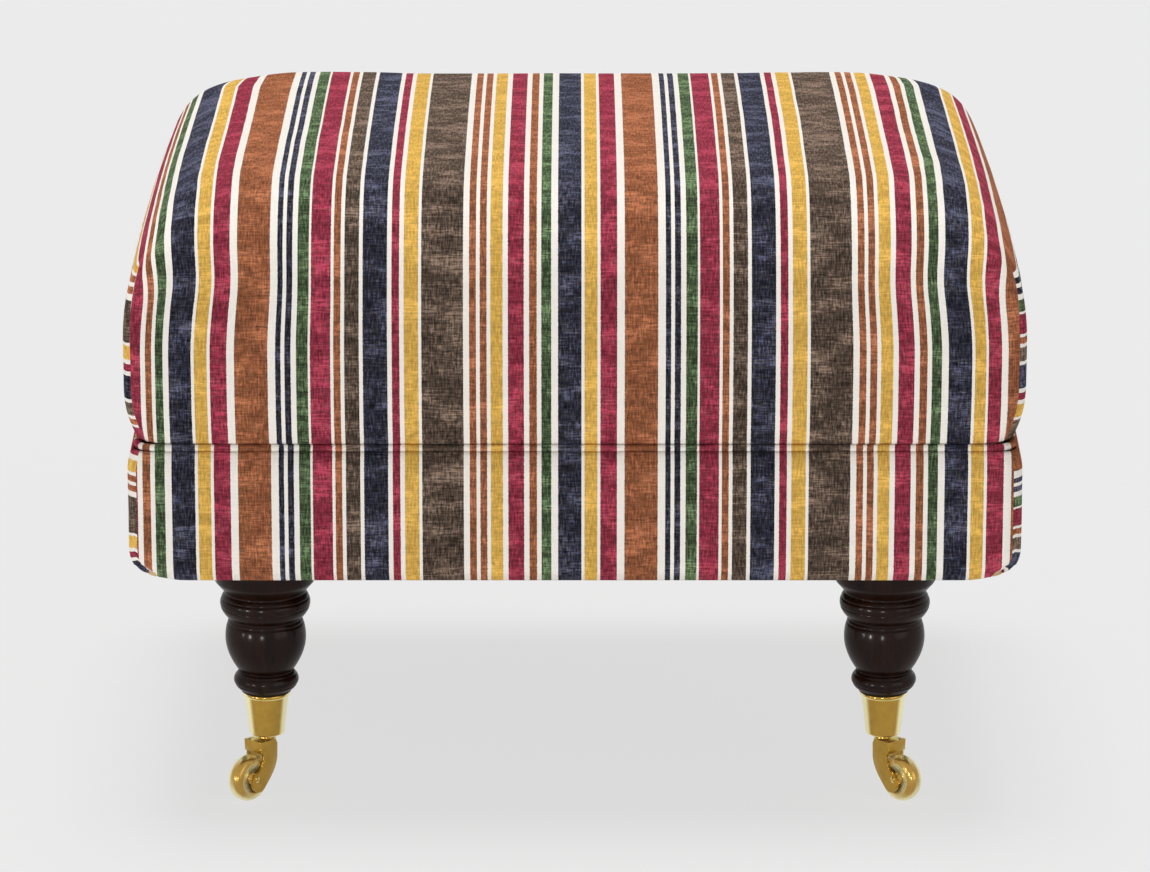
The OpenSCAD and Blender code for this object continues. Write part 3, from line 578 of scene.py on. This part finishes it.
def loftRings(rows, uvOf, closed):
    bm = bmesh.new()
    uvLayer = bm.loops.layers.uv.new("UVMap")
    verts = [[bm.verts.new(place) for place in row] for row in rows]
    count, last = len(rows[0]), len(rows) - 1

    def addFace(corners, column=None):
        face = bm.faces.new([verts[k][i] for k, i in corners])
        for loop, (k, i) in zip(face.loops, corners):
            loop[uvLayer].uv = uvOf(k, i, i if column is None else column)

    for k in range(last):
        for i in range(count):
            j = (i + 1) % count
            addFace([(k, i), (k, j), (k + 1, j), (k + 1, i)], i)
    if closed:
        addFace([(last, i) for i in range(count)])
        addFace([(0, i) for i in reversed(range(count))])
    return bm


# The cover fills out as cloth does: a coarser twin swells under pressure, and the cover takes over its shift
filling = {
    "detail": 0.5, "frames": 16, "heldH": 0.004, "most": 0.0016, "neighbours": 6, "near": 0.004,
    "cloth": {"quality": 6, "tension_stiffness": 40, "compression_stiffness": 40, "shear_stiffness": 20,
              "bending_stiffness": 3, "use_pressure": True, "uniform_pressure_force": 3.0},
}


def swellTwin(p, c):
    rings = padRings(p, fine=c["detail"])
    rows = [[coverPoint(p, ring, point) for point in ring["points"]] for ring in rings]
    bm = loftRings(rows, lambda k, i, column: (0.0, 0.0), False)
    mesh = bpy.data.meshes.new("coverTwin")
    bm.to_mesh(mesh)
    bm.free()
    twin = addObject("coverTwin", mesh)
    held = twin.vertex_groups.new(name="held")
    held.add([v.index for v in mesh.vertices if v.co.z < p["baseZ"] + c["heldH"]], 1.0, "ADD")
    cloth = twin.modifiers.new("cloth", "CLOTH")
    for key, value in c["cloth"].items():
        setattr(cloth.settings, key, value)
    cloth.settings.vertex_group_mass = "held"
    cloth.settings.effector_weights.gravity = 0.0
    cloth.collision_settings.use_collision = False
    cloth.point_cache.frame_end = c["frames"]
    for step in range(1, c["frames"] + 1):
        scene.frame_set(step)
    swollen = twin.evaluated_get(bpy.context.evaluated_depsgraph_get()).data
    places = kdtree.KDTree(len(mesh.vertices))
    shifts = []
    for before, after in zip(mesh.vertices, swollen.vertices):
        places.insert(before.co, before.index)
        outward = max(0.0, (after.co - before.co).dot(before.normal))
        shifts.append(before.normal * min(outward, c["most"]))
    places.balance()
    moves = [shift.length * 1000 for shift in shifts]
    print(f"cover swollen, at most {max(moves):.2f} mm, {sum(moves) / len(moves):.2f} mm on average")
    bpy.data.objects.remove(twin)
    scene.frame_set(1)
    return places, shifts


def shiftAt(place, swelling, c):
    places, shifts = swelling
    total = Vector((0.0, 0.0, 0.0))
    weights = 0.0
    for _, index, distance in places.find_n(place, c["neighbours"]):
        weight = 1 / (distance ** 2 + c["near"] ** 2)
        total += shifts[index] * weight
        weights += weight
    return total / weights


def buildPadForm(node, p, material, slotName, skin,
                 innerSkin=None, baseZ=None, fine=1.0, swelling=None):
    rings = padRings(p, skin, baseZ, fine)
    columns = rings[0]["points"]
    count = len(columns)
    if innerSkin is not None:      # the underside turns in and up again as a thin shell
        rings = padRings(p, innerSkin, baseZ, fine)[::-1] + rings
    rows = [[coverPoint(p, ring, point) for point in ring["points"]] for ring in rings]
    if swelling:
        rows = [[place + shiftAt(place, swelling, filling) for place in row] for row in rows]

    def uvOf(k, i, column):
        middle = (columns[column][2] + columns[(column + 1) % count][2]) / 2
        return coverUv(p, rings[k], rings[k]["points"][i], middle > seamAngle(p, 0))

    piece = addPiece(node, loftRings(rows, uvOf, True), material, "stool", slotName, 60)


clothInside = dict(pad, softness=0.0004, dartDepth=0.0)
coreInside = dict(clothInside, softness=0.0)
swelling = swellTwin(pad, filling)
buildPadForm("cushion_cover", pad, stripedCloth, "striped_cloth", skin=0.0, innerSkin=0.002,
             swelling=swelling)
buildPadForm("fibre_wrap", clothInside, fibreFill, "wadding", skin=0.0023, innerSkin=0.0083,
             fine=0.4)
buildPadForm("foam_core", coreInside, foamFill, "foam", skin=0.0086, baseZ=0.266, fine=0.4)
print("cushion made")


# A geometry tree has an input for each of the values, and ends in plain faces with their material
def newGeometryTree(name, values):
    inputs = [("Geometry", "Geometry")]
    for key, value in values.items():
        kind = "Int" if isinstance(value, int) else "Float" if isinstance(value, float) else "Material"
        inputs.append((key, kind, value))
    return newTree("GeometryNodeTree", name, inputs, [("Geometry", "Geometry")])


def finishTree(s, gout, geometry, material):
    real = s.form("RealizeInstances", {0: geometry})
    s.fill(gout, {0: s.form("SetMaterial", {"Geometry": real, "Material": material})})


# Runs a tree on an empty mesh and hands back the plain mesh that it makes
def meshFromTree(name, buildTree, values):
    tree = buildTree(values)
    holder = addObject(name + "Holder", bpy.data.meshes.new(name + "Holder"))
    modifier = holder.modifiers.new("make", "NODES")
    modifier.node_group = tree
    for item in tree.interface.items_tree:
        if item.name in values:
            modifier[item.identifier] = values[item.name]
    bpy.context.view_layer.update()
    mesh = bpy.data.meshes.new_from_object(holder.evaluated_get(bpy.context.evaluated_depsgraph_get()))
    mesh.name = name
    holder.modifiers.remove(modifier)
    bpy.data.objects.remove(holder)
    return mesh


# Piping: a covered cord that follows the seam, made as a curve with a round profile
piping = {"width": 0.6056, "depth": 0.4672, "cornerR": 0.015, "z": 0.268, "radius": 0.00265}


def buildPipingTree(values):
    tree, s, gin, gout = newGeometryTree("pipingTree", values)
    seam = s.form("CurvePrimitiveQuadrilateral", {"Width": gin["Width"], "Height": gin["Depth"]})
    rounded = s.form("FilletCurve", {"Curve": seam, "Count": 12, "Radius": gin["Corner"]}, mode="POLY")
    even = s.form("ResampleCurve", {"Curve": rounded, "Length": 0.004}, mode="LENGTH")
    lifted = s.form("SetPosition", {"Geometry": even, "Offset": s.vector(z=gin["Height"])})
    profile = s.form("CurvePrimitiveCircle", {"Resolution": 14, "Radius": gin["Radius"]})
    tube = s.form("CurveToMesh", {"Curve": lifted, "Profile Curve": profile})
    finishTree(s, gout, tube, gin["Cloth"])
    return tree


def outlineLength(x, y, halfX, halfY, r):
    inX, inY = abs(x) - (halfX - r), abs(y) - (halfY - r)
    if inX <= 0:
        return abs(x)
    if inY <= 0:
        return halfX - r + r * math.pi / 2 + (halfY - r - abs(y))
    return halfX - r + r * math.atan2(inX, inY)


def buildPiping():
    c = piping
    mesh = meshFromTree("pipingCord", buildPipingTree, {
        "Width": c["width"], "Depth": c["depth"], "Corner": c["cornerR"], "Height": c["z"],
        "Radius": c["radius"], "Cloth": stripedCloth})
    bm = bmesh.new()
    bm.from_mesh(mesh)
    bpy.data.meshes.remove(mesh)
    uvLayer = bm.loops.layers.uv.get("UVMap") or bm.loops.layers.uv.new("UVMap")
    for face in bm.faces:
        middle = face.calc_center_median()
        for loop in face.loops:
            x, y, z = loop.vert.co
            u = outlineLength(x, y, c["width"] / 2, c["depth"] / 2, c["cornerR"])
            loop[uvLayer].uv = (x if abs(middle.x) < 0.003 else math.copysign(u, middle.x), z)
    addPiece("piping", bm, stripedCloth, "stool", "striped_cloth", sharpAngle=180, name="pipingCord")


buildPiping()
print("piping made")

# Border: four panels of the same cloth, sewn a little way round each corner and turned under the rails
border = {
    "halfWidth": 0.3077, "halfDepth": 0.241, "baseZ": 0.1718, "topZ": 0.265, "sideBow": 0.003,
    "cornerR": 0.014, "rollW": 0.012, "rollH": 0.020, "drawW": 0.0042, "drawH": 0.016,
    "thickness": 0.0012, "softness": 0.0006, "sideDraw": 0.6, "liftReach": 0.036, "lift": 0.0086,
    "turnUnder": 0.036, "sideU": 0.3231, "sideZ": 0.2528,
    "underSteps": 4, "rollSteps": 9, "flatSteps": 8, "drawSteps": 8,
    "cornerSteps": 18, "seamColumn": 7, "longSteps": 90, "shortSteps": 70,
    # node: does it face the front or back, and on which side of the middle is it
    "panels": {"border_front": (True, -1), "border_back": (True, 1), "border_left": (False, -1),
               "border_right": (False, 1)},
}


# From under the rail round the roll, up the flat face and in under the piping, as inset and height
def borderSection(c):
    height = c["topZ"] - c["baseZ"]
    under, roll, flat, draw = (c[key] for key in ("underSteps", "rollSteps", "flatSteps", "drawSteps"))
    points = [(mix(c["turnUnder"], c["rollW"], i / under), 0.0) for i in range(under)]
    for i in range(roll + 1):
        t = math.radians(90 * i / roll)
        points.append((c["rollW"] * (1 - math.sin(t)), c["rollH"] * (1 - math.cos(t))))
    points += [(0.0, mix(c["rollH"], height - c["drawH"], i / flat)) for i in range(1, flat + 1)]
    for i in range(1, draw + 1):
        t = i / draw
        points.append((c["drawW"] * t * t, height - c["drawH"] * (1 - t)))
    return points + [(c["drawW"] + 0.0006, height + 0.0005), (c["drawW"] + 0.0013, height + 0.0009)]


def cornerDistance(c, point):
    a, b, r = c["halfWidth"], c["halfDepth"], c["cornerR"]
    half = r * math.pi / 4
    if point[2] <= 1e-6:
        return max(0.0, a - r - abs(point[0])) + half
    if point[2] >= math.pi / 2 - 1e-6:
        return max(0.0, b - r - abs(point[1])) + half
    return abs(point[2] - math.pi / 4) * r


def borderPoint(c, inset, h, point, skin):
    x, y, theta = point[:3]
    height = c["topZ"] - c["baseZ"]
    full = max(0.0, 1 - inset / c["rollW"])
    x = bowedX(x, y, c["halfWidth"] - inset, c["halfDepth"] - inset, c["sideBow"] * full)
    reach = max(0.0, 1 - cornerDistance(c, point) / c["liftReach"])      # the lower edge rises to each corner
    z = c["baseZ"] + h + c["lift"] * reach ** 2 * max(0, 1 - h / height) ** 2
    where = Vector((x, y, z))
    soft = noise.noise(where * 14.0) * 0.6 + noise.noise(where * 38.0) * 0.4
    push = c["softness"] * soft * math.sin(math.pi * min(1, max(0, h / height))) - skin
    x, y = movedOut(x, y, theta, abs(push))
    return Vector((x, y, z + (skin if h < c["rollH"] * 0.3 else 0.0)))


def buildBorder():
    c = border
    section = borderSection(c)
    lengths = runningLengths(section)
    flatStart = next(i for i, (inset, h) in enumerate(section) if inset == 0 or h >= c["rollH"])
    last = len(section) - 1
    rings = []
    for inset, h in section:
        a = c["halfWidth"] - inset * (c["sideDraw"] if h > c["rollH"] else 1)
        b = c["halfDepth"] - inset
        r = max(0.003, c["cornerR"] - inset * 0.35)
        rings.append(planRing(a, b, r, c["longSteps"], c["shortSteps"], c["cornerSteps"]))
    count = len(rings[0])
    # two layers: one on the rails, and one that stands out by the cloth's thickness
    layers = [[[borderPoint(c, inset, h, point, skin) for point in ring]
               for (inset, h), ring in zip(section, rings)] for skin in (0.0, c["thickness"])]
    seamTurn = math.radians(90 * c["seamColumn"] / c["cornerSteps"])

    def facesLong(i):
        return (rings[0][i][2] + rings[0][(i + 1) % count][2]) / 2 < seamTurn

    def uvOf(k, i, isLong):
        x, y, _, arcX, arcY = rings[k][i]
        height = c["baseZ"] + section[flatStart][1] + lengths[k] - lengths[flatStart]
        if isLong:
            return math.copysign(arcX, x), math.copysign(height, y)
        return math.copysign(c["sideU"] + c["sideZ"] - height, x), math.copysign(arcY, y)

    for node, (isLong, sign) in c["panels"].items():
        axis = 1 if isLong else 0
        columns = [i for i in range(count) if facesLong(i) == isLong
                   and (rings[0][i][axis] + rings[0][(i + 1) % count][axis]) * sign > 0]
        bm = bmesh.new()
        uvLayer = bm.loops.layers.uv.new("UVMap")
        made = {}

        def vert(key):
            layer, k, i = key
            if key not in made:
                made[key] = bm.verts.new(layers[layer][k][i])
            return made[key]

        def quad(keys):
            face = bm.faces.new([vert(key) for key in keys])
            for loop, (_, k, i) in zip(face.loops, keys):
                loop[uvLayer].uv = uvOf(k, i, isLong)

        for i in columns:
            j = (i + 1) % count
            for k in range(last):
                quad([(0, k, i), (0, k, j), (0, k + 1, j), (0, k + 1, i)])
                quad([(1, k, j), (1, k, i), (1, k + 1, i), (1, k + 1, j)])
            quad([(0, last, i), (0, last, j), (1, last, j), (1, last, i)])
            quad([(1, 0, i), (1, 0, j), (0, 0, j), (0, 0, i)])
        ends = [i for i in columns if (i - 1) % count not in columns]
        ends += [(i + 1) % count for i in columns if (i + 1) % count not in columns]
        for i in ends:
            for k in range(last):
                quad([(0, k, i), (0, k + 1, i), (1, k + 1, i), (1, k, i)])
        piece = addPiece(node, bm, stripedCloth, "stool", "striped_cloth", 50)


buildBorder()
print("border made")

# Turned legs: the source's beads and necks, with the fine lines cut by the turner
leg = {
    "x": 0.2177, "y": 0.1825, "footZ": 0.0768, "topZ": 0.171, "spigotZ": 0.0546, "spigotClear": 0.00015,
    "footR": 0.0174, "ankleR": 0.019, "ringR": 0.0229, "ringH": 0.0152, "waistR": 0.0256, "bulbR": 0.0283,
    "bulbH": 0.0384, "neckR": 0.0285, "beadR": 0.0318, "beadH": 0.0194, "coveH": 0.0077, "plateR": 0.0352,
    "plateH": 0.0135, "fillet": 0.001, "lineDepth": 0.0005, "lineWidth": 0.00045, "linesFromR": 0.017,
    "lines": (0.0827, 0.0899, 0.1275, 0.14005, 0.1459),
    "steps": 72, "beadSteps": (26, 54, 34), "coveSteps": 12,
}
cup = {"z": 0.0451, "height": 0.0317, "topR": 0.0158, "bottomR": 0.0123, "rim": 0.001, "rimH": 0.003,
       "wall": 0.0015, "floor": 0.003, "boreR": 0.00406, "footRound": 0.0016, "steps": 64}


def lathe(profile, steps, matrix):
    bm = bmesh.new()
    rings = []
    for r, h in profile:
        turns = [2 * math.pi * i / steps for i in range(steps if r else 1)]      # a single point on the axis
        rings.append([bm.verts.new(matrix @ Vector((r * math.cos(t), r * math.sin(t), h))) for t in turns])
    if profile[0] == profile[-1]:      # a closed profile ends on its first ring
        for spare in rings[-1]:
            bm.verts.remove(spare)
        rings[-1] = rings[0]
    for low, high in zip(rings, rings[1:]):
        for i in range(steps):
            j = (i + 1) % steps
            corners = [low[i % len(low)], low[j % len(low)], high[j % len(high)], high[i % len(high)]]
            bm.faces.new(list(dict.fromkeys(corners)))      # corners that meet on the axis count once
    return bm


def beadProfile(c, r0, r1, full, z0, h, n):
    swell = full - mix(r0, r1, 0.56)
    points = [(r0, z0)]
    for i in range(n + 1):
        t = i / n
        bead = swell * math.sin(math.pi * t) ** 0.8 if 0 < t < 1 else 0.0
        points.append((mix(r0, r1, t) + bead, z0 + c["fillet"] + (h - c["fillet"]) * t))
    return points


def cupInnerR(z):
    return mix(cup["bottomR"], cup["topR"], (z - cup["z"]) / cup["height"]) - cup["wall"]


def legProfile(c):
    points = [(0.0, c["spigotZ"])]
    points += [(cupInnerR(z) - c["spigotClear"], z) for z in (c["spigotZ"], c["footZ"])]
    z = c["footZ"]
    beads = [("footR", "ankleR", "ringR", "ringH"), ("ankleR", "waistR", "bulbR", "bulbH"),
             ("waistR", "neckR", "beadR", "beadH")]
    for (low, high, full, height), steps in zip(beads, c["beadSteps"]):
        points += beadProfile(c, c[low], c[high], c[full], z, c[height], steps)
        z += c[height]
    for i in range(c["coveSteps"] + 1):
        t = i / c["coveSteps"]
        points.append((mix(c["neckR"], c["plateR"] - 0.001, t ** 1.05),
                       z + c["fillet"] + (c["coveH"] - c["fillet"]) * t))
    z = c["topZ"] - c["plateH"]
    points += [(c["plateR"] - 0.001 + 0.001 * t, z + 0.0015 * t) for t in (0.4, 0.8, 1.0)]
    points += [(c["plateR"], c["topZ"] - 0.0015), (c["plateR"] - 0.0004, c["topZ"] - 0.0004),
               (c["plateR"] - 0.0015, c["topZ"]), (0.0, c["topZ"])]
    cutLines = []
    for r, h in points:
        cut = sum(math.exp(-((h - line) / c["lineWidth"]) ** 2) for line in c["lines"])
        cutLines.append((max(0.0, r - c["lineDepth"] * cut) if r > c["linesFromR"] else r, h))
    return cutLines


def arcPoints(cx, cz, rx, rz, start, end, n):
    return [(cx + rx * math.cos(math.radians(mix(start, end, i / n))),
             cz + rz * math.sin(math.radians(mix(start, end, i / n)))) for i in range(n + 1)]


def cupProfile(c):
    top = c["z"] + c["height"]
    floorTop = c["z"] + c["floor"]
    foot = c["footRound"]
    points = [(c["boreR"], c["z"]), (c["bottomR"] - foot, c["z"])]
    points += arcPoints(c["bottomR"] - foot, c["z"] + foot, foot, foot, -80, 0, 6)
    under = top - c["rimH"]
    rUnder = mix(c["bottomR"], c["topR"], (under - c["z"]) / c["height"])
    points += [(mix(c["bottomR"], rUnder, t), mix(c["z"] + 0.0018, under - 0.0004, t))
               for t in (0.3, 0.6, 0.9, 1.0)]
    points += arcPoints(c["topR"], top - c["rimH"] / 2, c["rim"], c["rimH"] / 2, -80, 90, 12)
    return points + [(cupInnerR(top), top), (cupInnerR(floorTop), floorTop), (c["boreR"], floorTop),
                     (c["boreR"], c["z"])]


def legMatrix(name):
    x = -leg["x"] if "left" in name else leg["x"]
    y = -leg["y"] if "front" in name else leg["y"]
    return Matrix.Translation(Vector((x, y, 0)))


for name in cornerNames:
    turned = lathe(legProfile(leg), leg["steps"], legMatrix(name))
    addPiece("leg_" + name, turned, espressoWood, "stool", "dark_wood", 50)
    turned = lathe(cupProfile(cup), cup["steps"], legMatrix(name))
    addPiece("cup_" + name, turned, polishedBrass, "stool", "brass", 40)
print("legs and cups turned")

# Castors: a wheel with a dished face on each side, in a fork with eased edges
wheel = {"radius": 0.0165, "width": 0.012, "trail": 0.019, "turn": 48, "axleR": 0.00156, "steps": 72,
         "treadHalf": 0.001, "shoulder": 0.0036, "lipIn": 0.0059}
# The source's own castor pieces: node, rounding, finish and slot
castorParts = [("fork", 0.0004, castBrass, "brass"), ("axle", 0.0001, polishedBrass, "brass"),
               ("swivel_pin", 0.0002, polishedBrass, "brass"), ("washer", 0.0001, zincSteel, "steel")]


def wheelProfile(c):
    r, w, flat, axle = c["radius"], c["width"] / 2, c["treadHalf"], c["axleR"]
    half = [(r, 0.0), (r, flat)]
    half += arcPoints(r - c["shoulder"], flat, c["shoulder"], w - flat - 0.0004, 4, 84, 14)
    lip = r - c["lipIn"]
    half += [(r - 0.0042, w - 0.0001), (r - 0.0046, w), (lip + 0.0003, w), (lip - 0.0003, w - 0.0001),
             (lip - 0.0008, w - 0.0005), (lip - 0.0022, w - 0.0013), (lip - 0.0034, w - 0.00185),
             (lip - 0.0041, w - 0.0021), (axle + 0.0034, w - 0.00225), (axle + 0.0026, w - 0.0021),
             (axle + 0.0021, w - 0.0016), (axle + 0.0018, w - 0.0004), (axle + 0.0014, w), (axle, w)]
    back = [(x, -z) for x, z in half[::-1]]
    return half + back[:-1] + [half[0]]


def castorMatrix(name):
    turn = wheel["turn"] if name in ("front_left", "back_right") else -wheel["turn"]
    if "left" in name:
        turn += 180
    return legMatrix(name) @ Matrix.Rotation(math.radians(turn), 4, "Z")


# A copy of a CAD node with its doubles merged and its hard edges rounded
def easedCopy(node, width, material, body, slotName, hardAngle=32):
    bm = bmesh.new()
    bm.from_mesh(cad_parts[node].data)
    bmesh.ops.remove_doubles(bm, verts=bm.verts, dist=1e-6)
    bmesh.ops.dissolve_limit(bm, angle_limit=math.radians(0.8), verts=bm.verts, edges=bm.edges)
    hard = [e for e in bm.edges if len(e.link_faces) == 2 and e.calc_face_angle(0) > math.radians(hardAngle)]
    bmesh.ops.bevel(bm, geom=hard, offset=width, segments=2, profile=0.6, affect="EDGES", clamp_overlap=True)
    addPiece(node, bm, material, body, slotName, 30)


for name in cornerNames:
    hub = castorMatrix(name) @ Matrix.Translation(Vector((wheel["trail"], 0, wheel["radius"])))
    turned = lathe(wheelProfile(wheel), wheel["steps"], hub @ Matrix.Rotation(math.radians(90), 4, "X"))
    addPiece("wheel_" + name, turned, rolledBrass, "wheel_" + name, "brass", 32)
    for part, width, material, slotName in castorParts:
        easedCopy(part + "_" + name, width, material, "castor_" + name, slotName)
easedCopy("cup_screws", 0.0002, polishedBrass, "stool", "brass")
print("castors made")

# Under the stool: a stretched dust sheet and the staples that hold it
dust = {"halfX": 0.2893, "halfY": 0.2201, "z": 0.1714, "thickness": 0.0006, "sag": 0.0022, "sagFrom": 0.12,
        "legClear": 0.09, "stepsX": 58, "stepsY": 44}
staple = {"in": 0.009, "every": 0.032, "length": 0.010, "wire": 0.0007, "sunk": 0.4, "legClear": 0.006,
          "askew": 0.25, "seed": 4}


def dustZ(c, x, y):
    clear = min(1, math.hypot(abs(x) - leg["x"], abs(y) - leg["y"]) / c["legClear"])
    inside = smooth((c["halfX"] - abs(x)) / c["sagFrom"]) * smooth((c["halfY"] - abs(y)) / c["sagFrom"])
    inside *= smooth((clear - 0.5) * 2)
    ripple = 0.5 + 0.5 * noise.noise(Vector((x * 11, y * 11, 3.0)))
    return c["z"] - c["sag"] * inside * (0.5 + ripple)


def buildDustSheet():
    c = dust
    nx, ny = c["stepsX"], c["stepsY"]
    bm = bmesh.new()
    layers = []
    for side in (1, -1):
        grid = []
        for j in range(ny + 1):
            y = mix(-c["halfY"], c["halfY"], j / ny)
            xs = [mix(-c["halfX"], c["halfX"], i / nx) for i in range(nx + 1)]
            grid.append([bm.verts.new((x, y, dustZ(c, x, y) + side * c["thickness"] / 2)) for x in xs])
        layers.append(grid)
    top, low = layers
    for j in range(ny):
        for i in range(nx):
            bm.faces.new([top[j][i], top[j][i + 1], top[j + 1][i + 1], top[j + 1][i]])
            bm.faces.new([low[j][i], low[j + 1][i], low[j + 1][i + 1], low[j][i + 1]])
    edge = [(0, i) for i in range(nx)] + [(j, nx) for j in range(ny)]
    edge += [(ny, i) for i in range(nx, 0, -1)] + [(j, 0) for j in range(ny, 0, -1)]
    for (j0, i0), (j1, i1) in zip(edge, edge[1:] + edge[:1]):
        bm.faces.new([top[j0][i0], low[j0][i0], low[j1][i1], top[j1][i1]])
    piece = addPiece("dust_cover", bm, dustCloth, "stool", "dust_cloth", 50, name="dustSheet")


def buildStapleTree(values):
    tree, s, gin, gout = newGeometryTree("stapleTree", values)
    width, depth = (s.times(gin[key], 2.0) for key in ("Half Width", "Half Depth"))
    outline = s.form("CurvePrimitiveQuadrilateral", {"Width": width, "Height": depth})
    spots = s.add("GeometryNodeCurveToPoints", {"Curve": outline, "Length": gin["Every"]},
                  mode="LENGTH").outputs
    place = s.split(s.form("InputPosition"))
    dx, dy = (s.minus(s.calc("ABSOLUTE", place[k]), gin[key]) for k, key in enumerate(("Leg X", "Leg Y")))
    apart = s.calc("SQRT", s.plus(s.times(dx, dx), s.times(dy, dy)))
    atLeg = s.result("FunctionNodeCompare", {0: apart, 1: gin["Leg Radius"]}, data_type="FLOAT",
                     operation="LESS_THAN")
    clear = s.form("DeleteGeometry", {"Geometry": spots["Points"], "Selection": atLeg}, domain="POINT")
    crown = s.form("MeshCube", {"Size": s.vector(gin["Wire"], gin["Wire"], gin["Length"])})
    scattered = s.form("InstanceOnPoints", {"Points": clear, "Instance": crown,
                                            "Rotation": spots["Rotation"]})
    least, most = s.vector(y=s.times(gin["Askew"], -1.0)), s.vector(y=gin["Askew"])
    wobble = s.result("FunctionNodeRandomValue", {0: least, 1: most, "Seed": gin["Seed"]},
                      data_type="FLOAT_VECTOR")
    turned = s.form("RotateInstances", {"Instances": scattered, "Rotation": wobble})
    lifted = s.form("TranslateInstances", {"Instances": turned, "Translation": s.vector(z=gin["Height"]),
                                           "Local Space": False})
    finishTree(s, gout, lifted, gin["Metal"])
    return tree


def buildStaples():
    c = staple
    mesh = meshFromTree("dustStaples", buildStapleTree, {
        "Half Width": dust["halfX"] - c["in"], "Half Depth": dust["halfY"] - c["in"], "Every": c["every"],
        "Length": c["length"], "Wire": c["wire"],
        "Height": dust["z"] - dust["thickness"] / 2 - c["wire"] * c["sunk"],
        "Leg X": leg["x"], "Leg Y": leg["y"], "Leg Radius": leg["plateR"] + c["legClear"],
        "Askew": c["askew"], "Seed": c["seed"], "Metal": zincSteel})
    piece = addObject("dustStaples", mesh)
    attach(piece, "stool")


buildDustSheet()
buildStaples()
print("underside made")

# CAD nodes that keep their shape get their finish
finishes = [
    (beechWood, ["front_rail", "back_rail", "left_rail", "right_rail", "rail_dowels"] +
     ["corner_block_" + name for name in cornerNames]),
    (zincSteel, ["corner_block_screws", "leg_bolts", "leg_nuts"]),
    (webbingCloth, ["long_webbing", "cross_webbing"]),
    (hessian, ["platform_cloth"]),
    (pressedCard, ["tack_strip"]),
    (fibreFill, ["border_wadding"]),
]
for material, nodeNames in finishes:
    for nodeName in nodeNames:
        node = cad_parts[nodeName]
        node.data.materials.clear()
        node.data.materials.append(material)
print("hidden pieces finished")

# Floor, lamps and world
studio = {
    "floor": 0.8, "floorGlow": 0.83, "glowShare": 0.825, "floorHalf": 14, "world": 0.24, "backdrop": 0.848,
    # name, strength, width of the source in degrees, direction towards it
    "suns": [("overheadSun", 2.38, 28, (-0.03, 0.14, 1.0)), ("leftSun", 0.62, 4.5, (-0.678, -0.737, 0.05)),
             ("farLeftSun", 0.2, 5, (-0.90, -0.43, 0.05)), ("frontSun", 0.37, 6, (-0.13, -0.98, 0.05)),
             ("rightFill", 0.45, 40, (0.72, -0.66, 0.22))],
}


# 1 where the camera sees the surface, straight or through gloss and glass
def seenDirectly(s):
    path = s.add("ShaderNodeLightPath").outputs
    return s.greatest(path["Is Camera Ray"], s.greatest(path["Is Glossy Ray"], path["Is Transmission Ray"]))


def buildFloor():
    c = studio
    material, s, shader = newMaterial("paleFloor")
    s.fill(shader, {"Base Color": (c["floor"],) * 3 + (1,), "Roughness": 1.0, "Specular IOR Level": 0.0})
    glow = s.result("ShaderNodeEmission", {"Color": (c["floorGlow"],) * 3 + (1,)})
    share = s.times(seenDirectly(s), c["glowShare"])
    both = s.result("ShaderNodeMixShader", {0: share, 1: shader.outputs[0], 2: glow})
    s.fill(material.node_tree.nodes["Material Output"], {"Surface": both})
    mesh = bpy.data.meshes.new("floor")
    half = c["floorHalf"]
    mesh.from_pydata([(-half, -half, 0), (half, -half, 0), (half, half, 0), (-half, half, 0)], [],
                     [(0, 1, 2, 3)])
    mesh.materials.append(material)
    addObject("floor", mesh)


def addSun(name, strength, spread, toward):
    light = bpy.data.lights.new(name, "SUN")
    light.energy = strength
    light.angle = math.radians(spread)
    lamp = bpy.data.objects.new(name, light)
    lamp.rotation_mode = "QUATERNION"
    lamp.rotation_quaternion = Vector(toward).to_track_quat("Z", "Y")
    scene.collection.objects.link(lamp)


def buildWorld():
    world = bpy.data.worlds.new("studio")
    world.use_nodes = True
    s = NodeSheet(world.node_tree)
    strength = s.range(seenDirectly(s), 0, 1, studio["world"], studio["backdrop"])
    s.fill(world.node_tree.nodes["Background"], {"Color": (1, 1, 1, 1), "Strength": strength})
    scene.world = world


buildFloor()
buildWorld()
for sun in studio["suns"]:
    addSun(*sun)
print("studio lit")
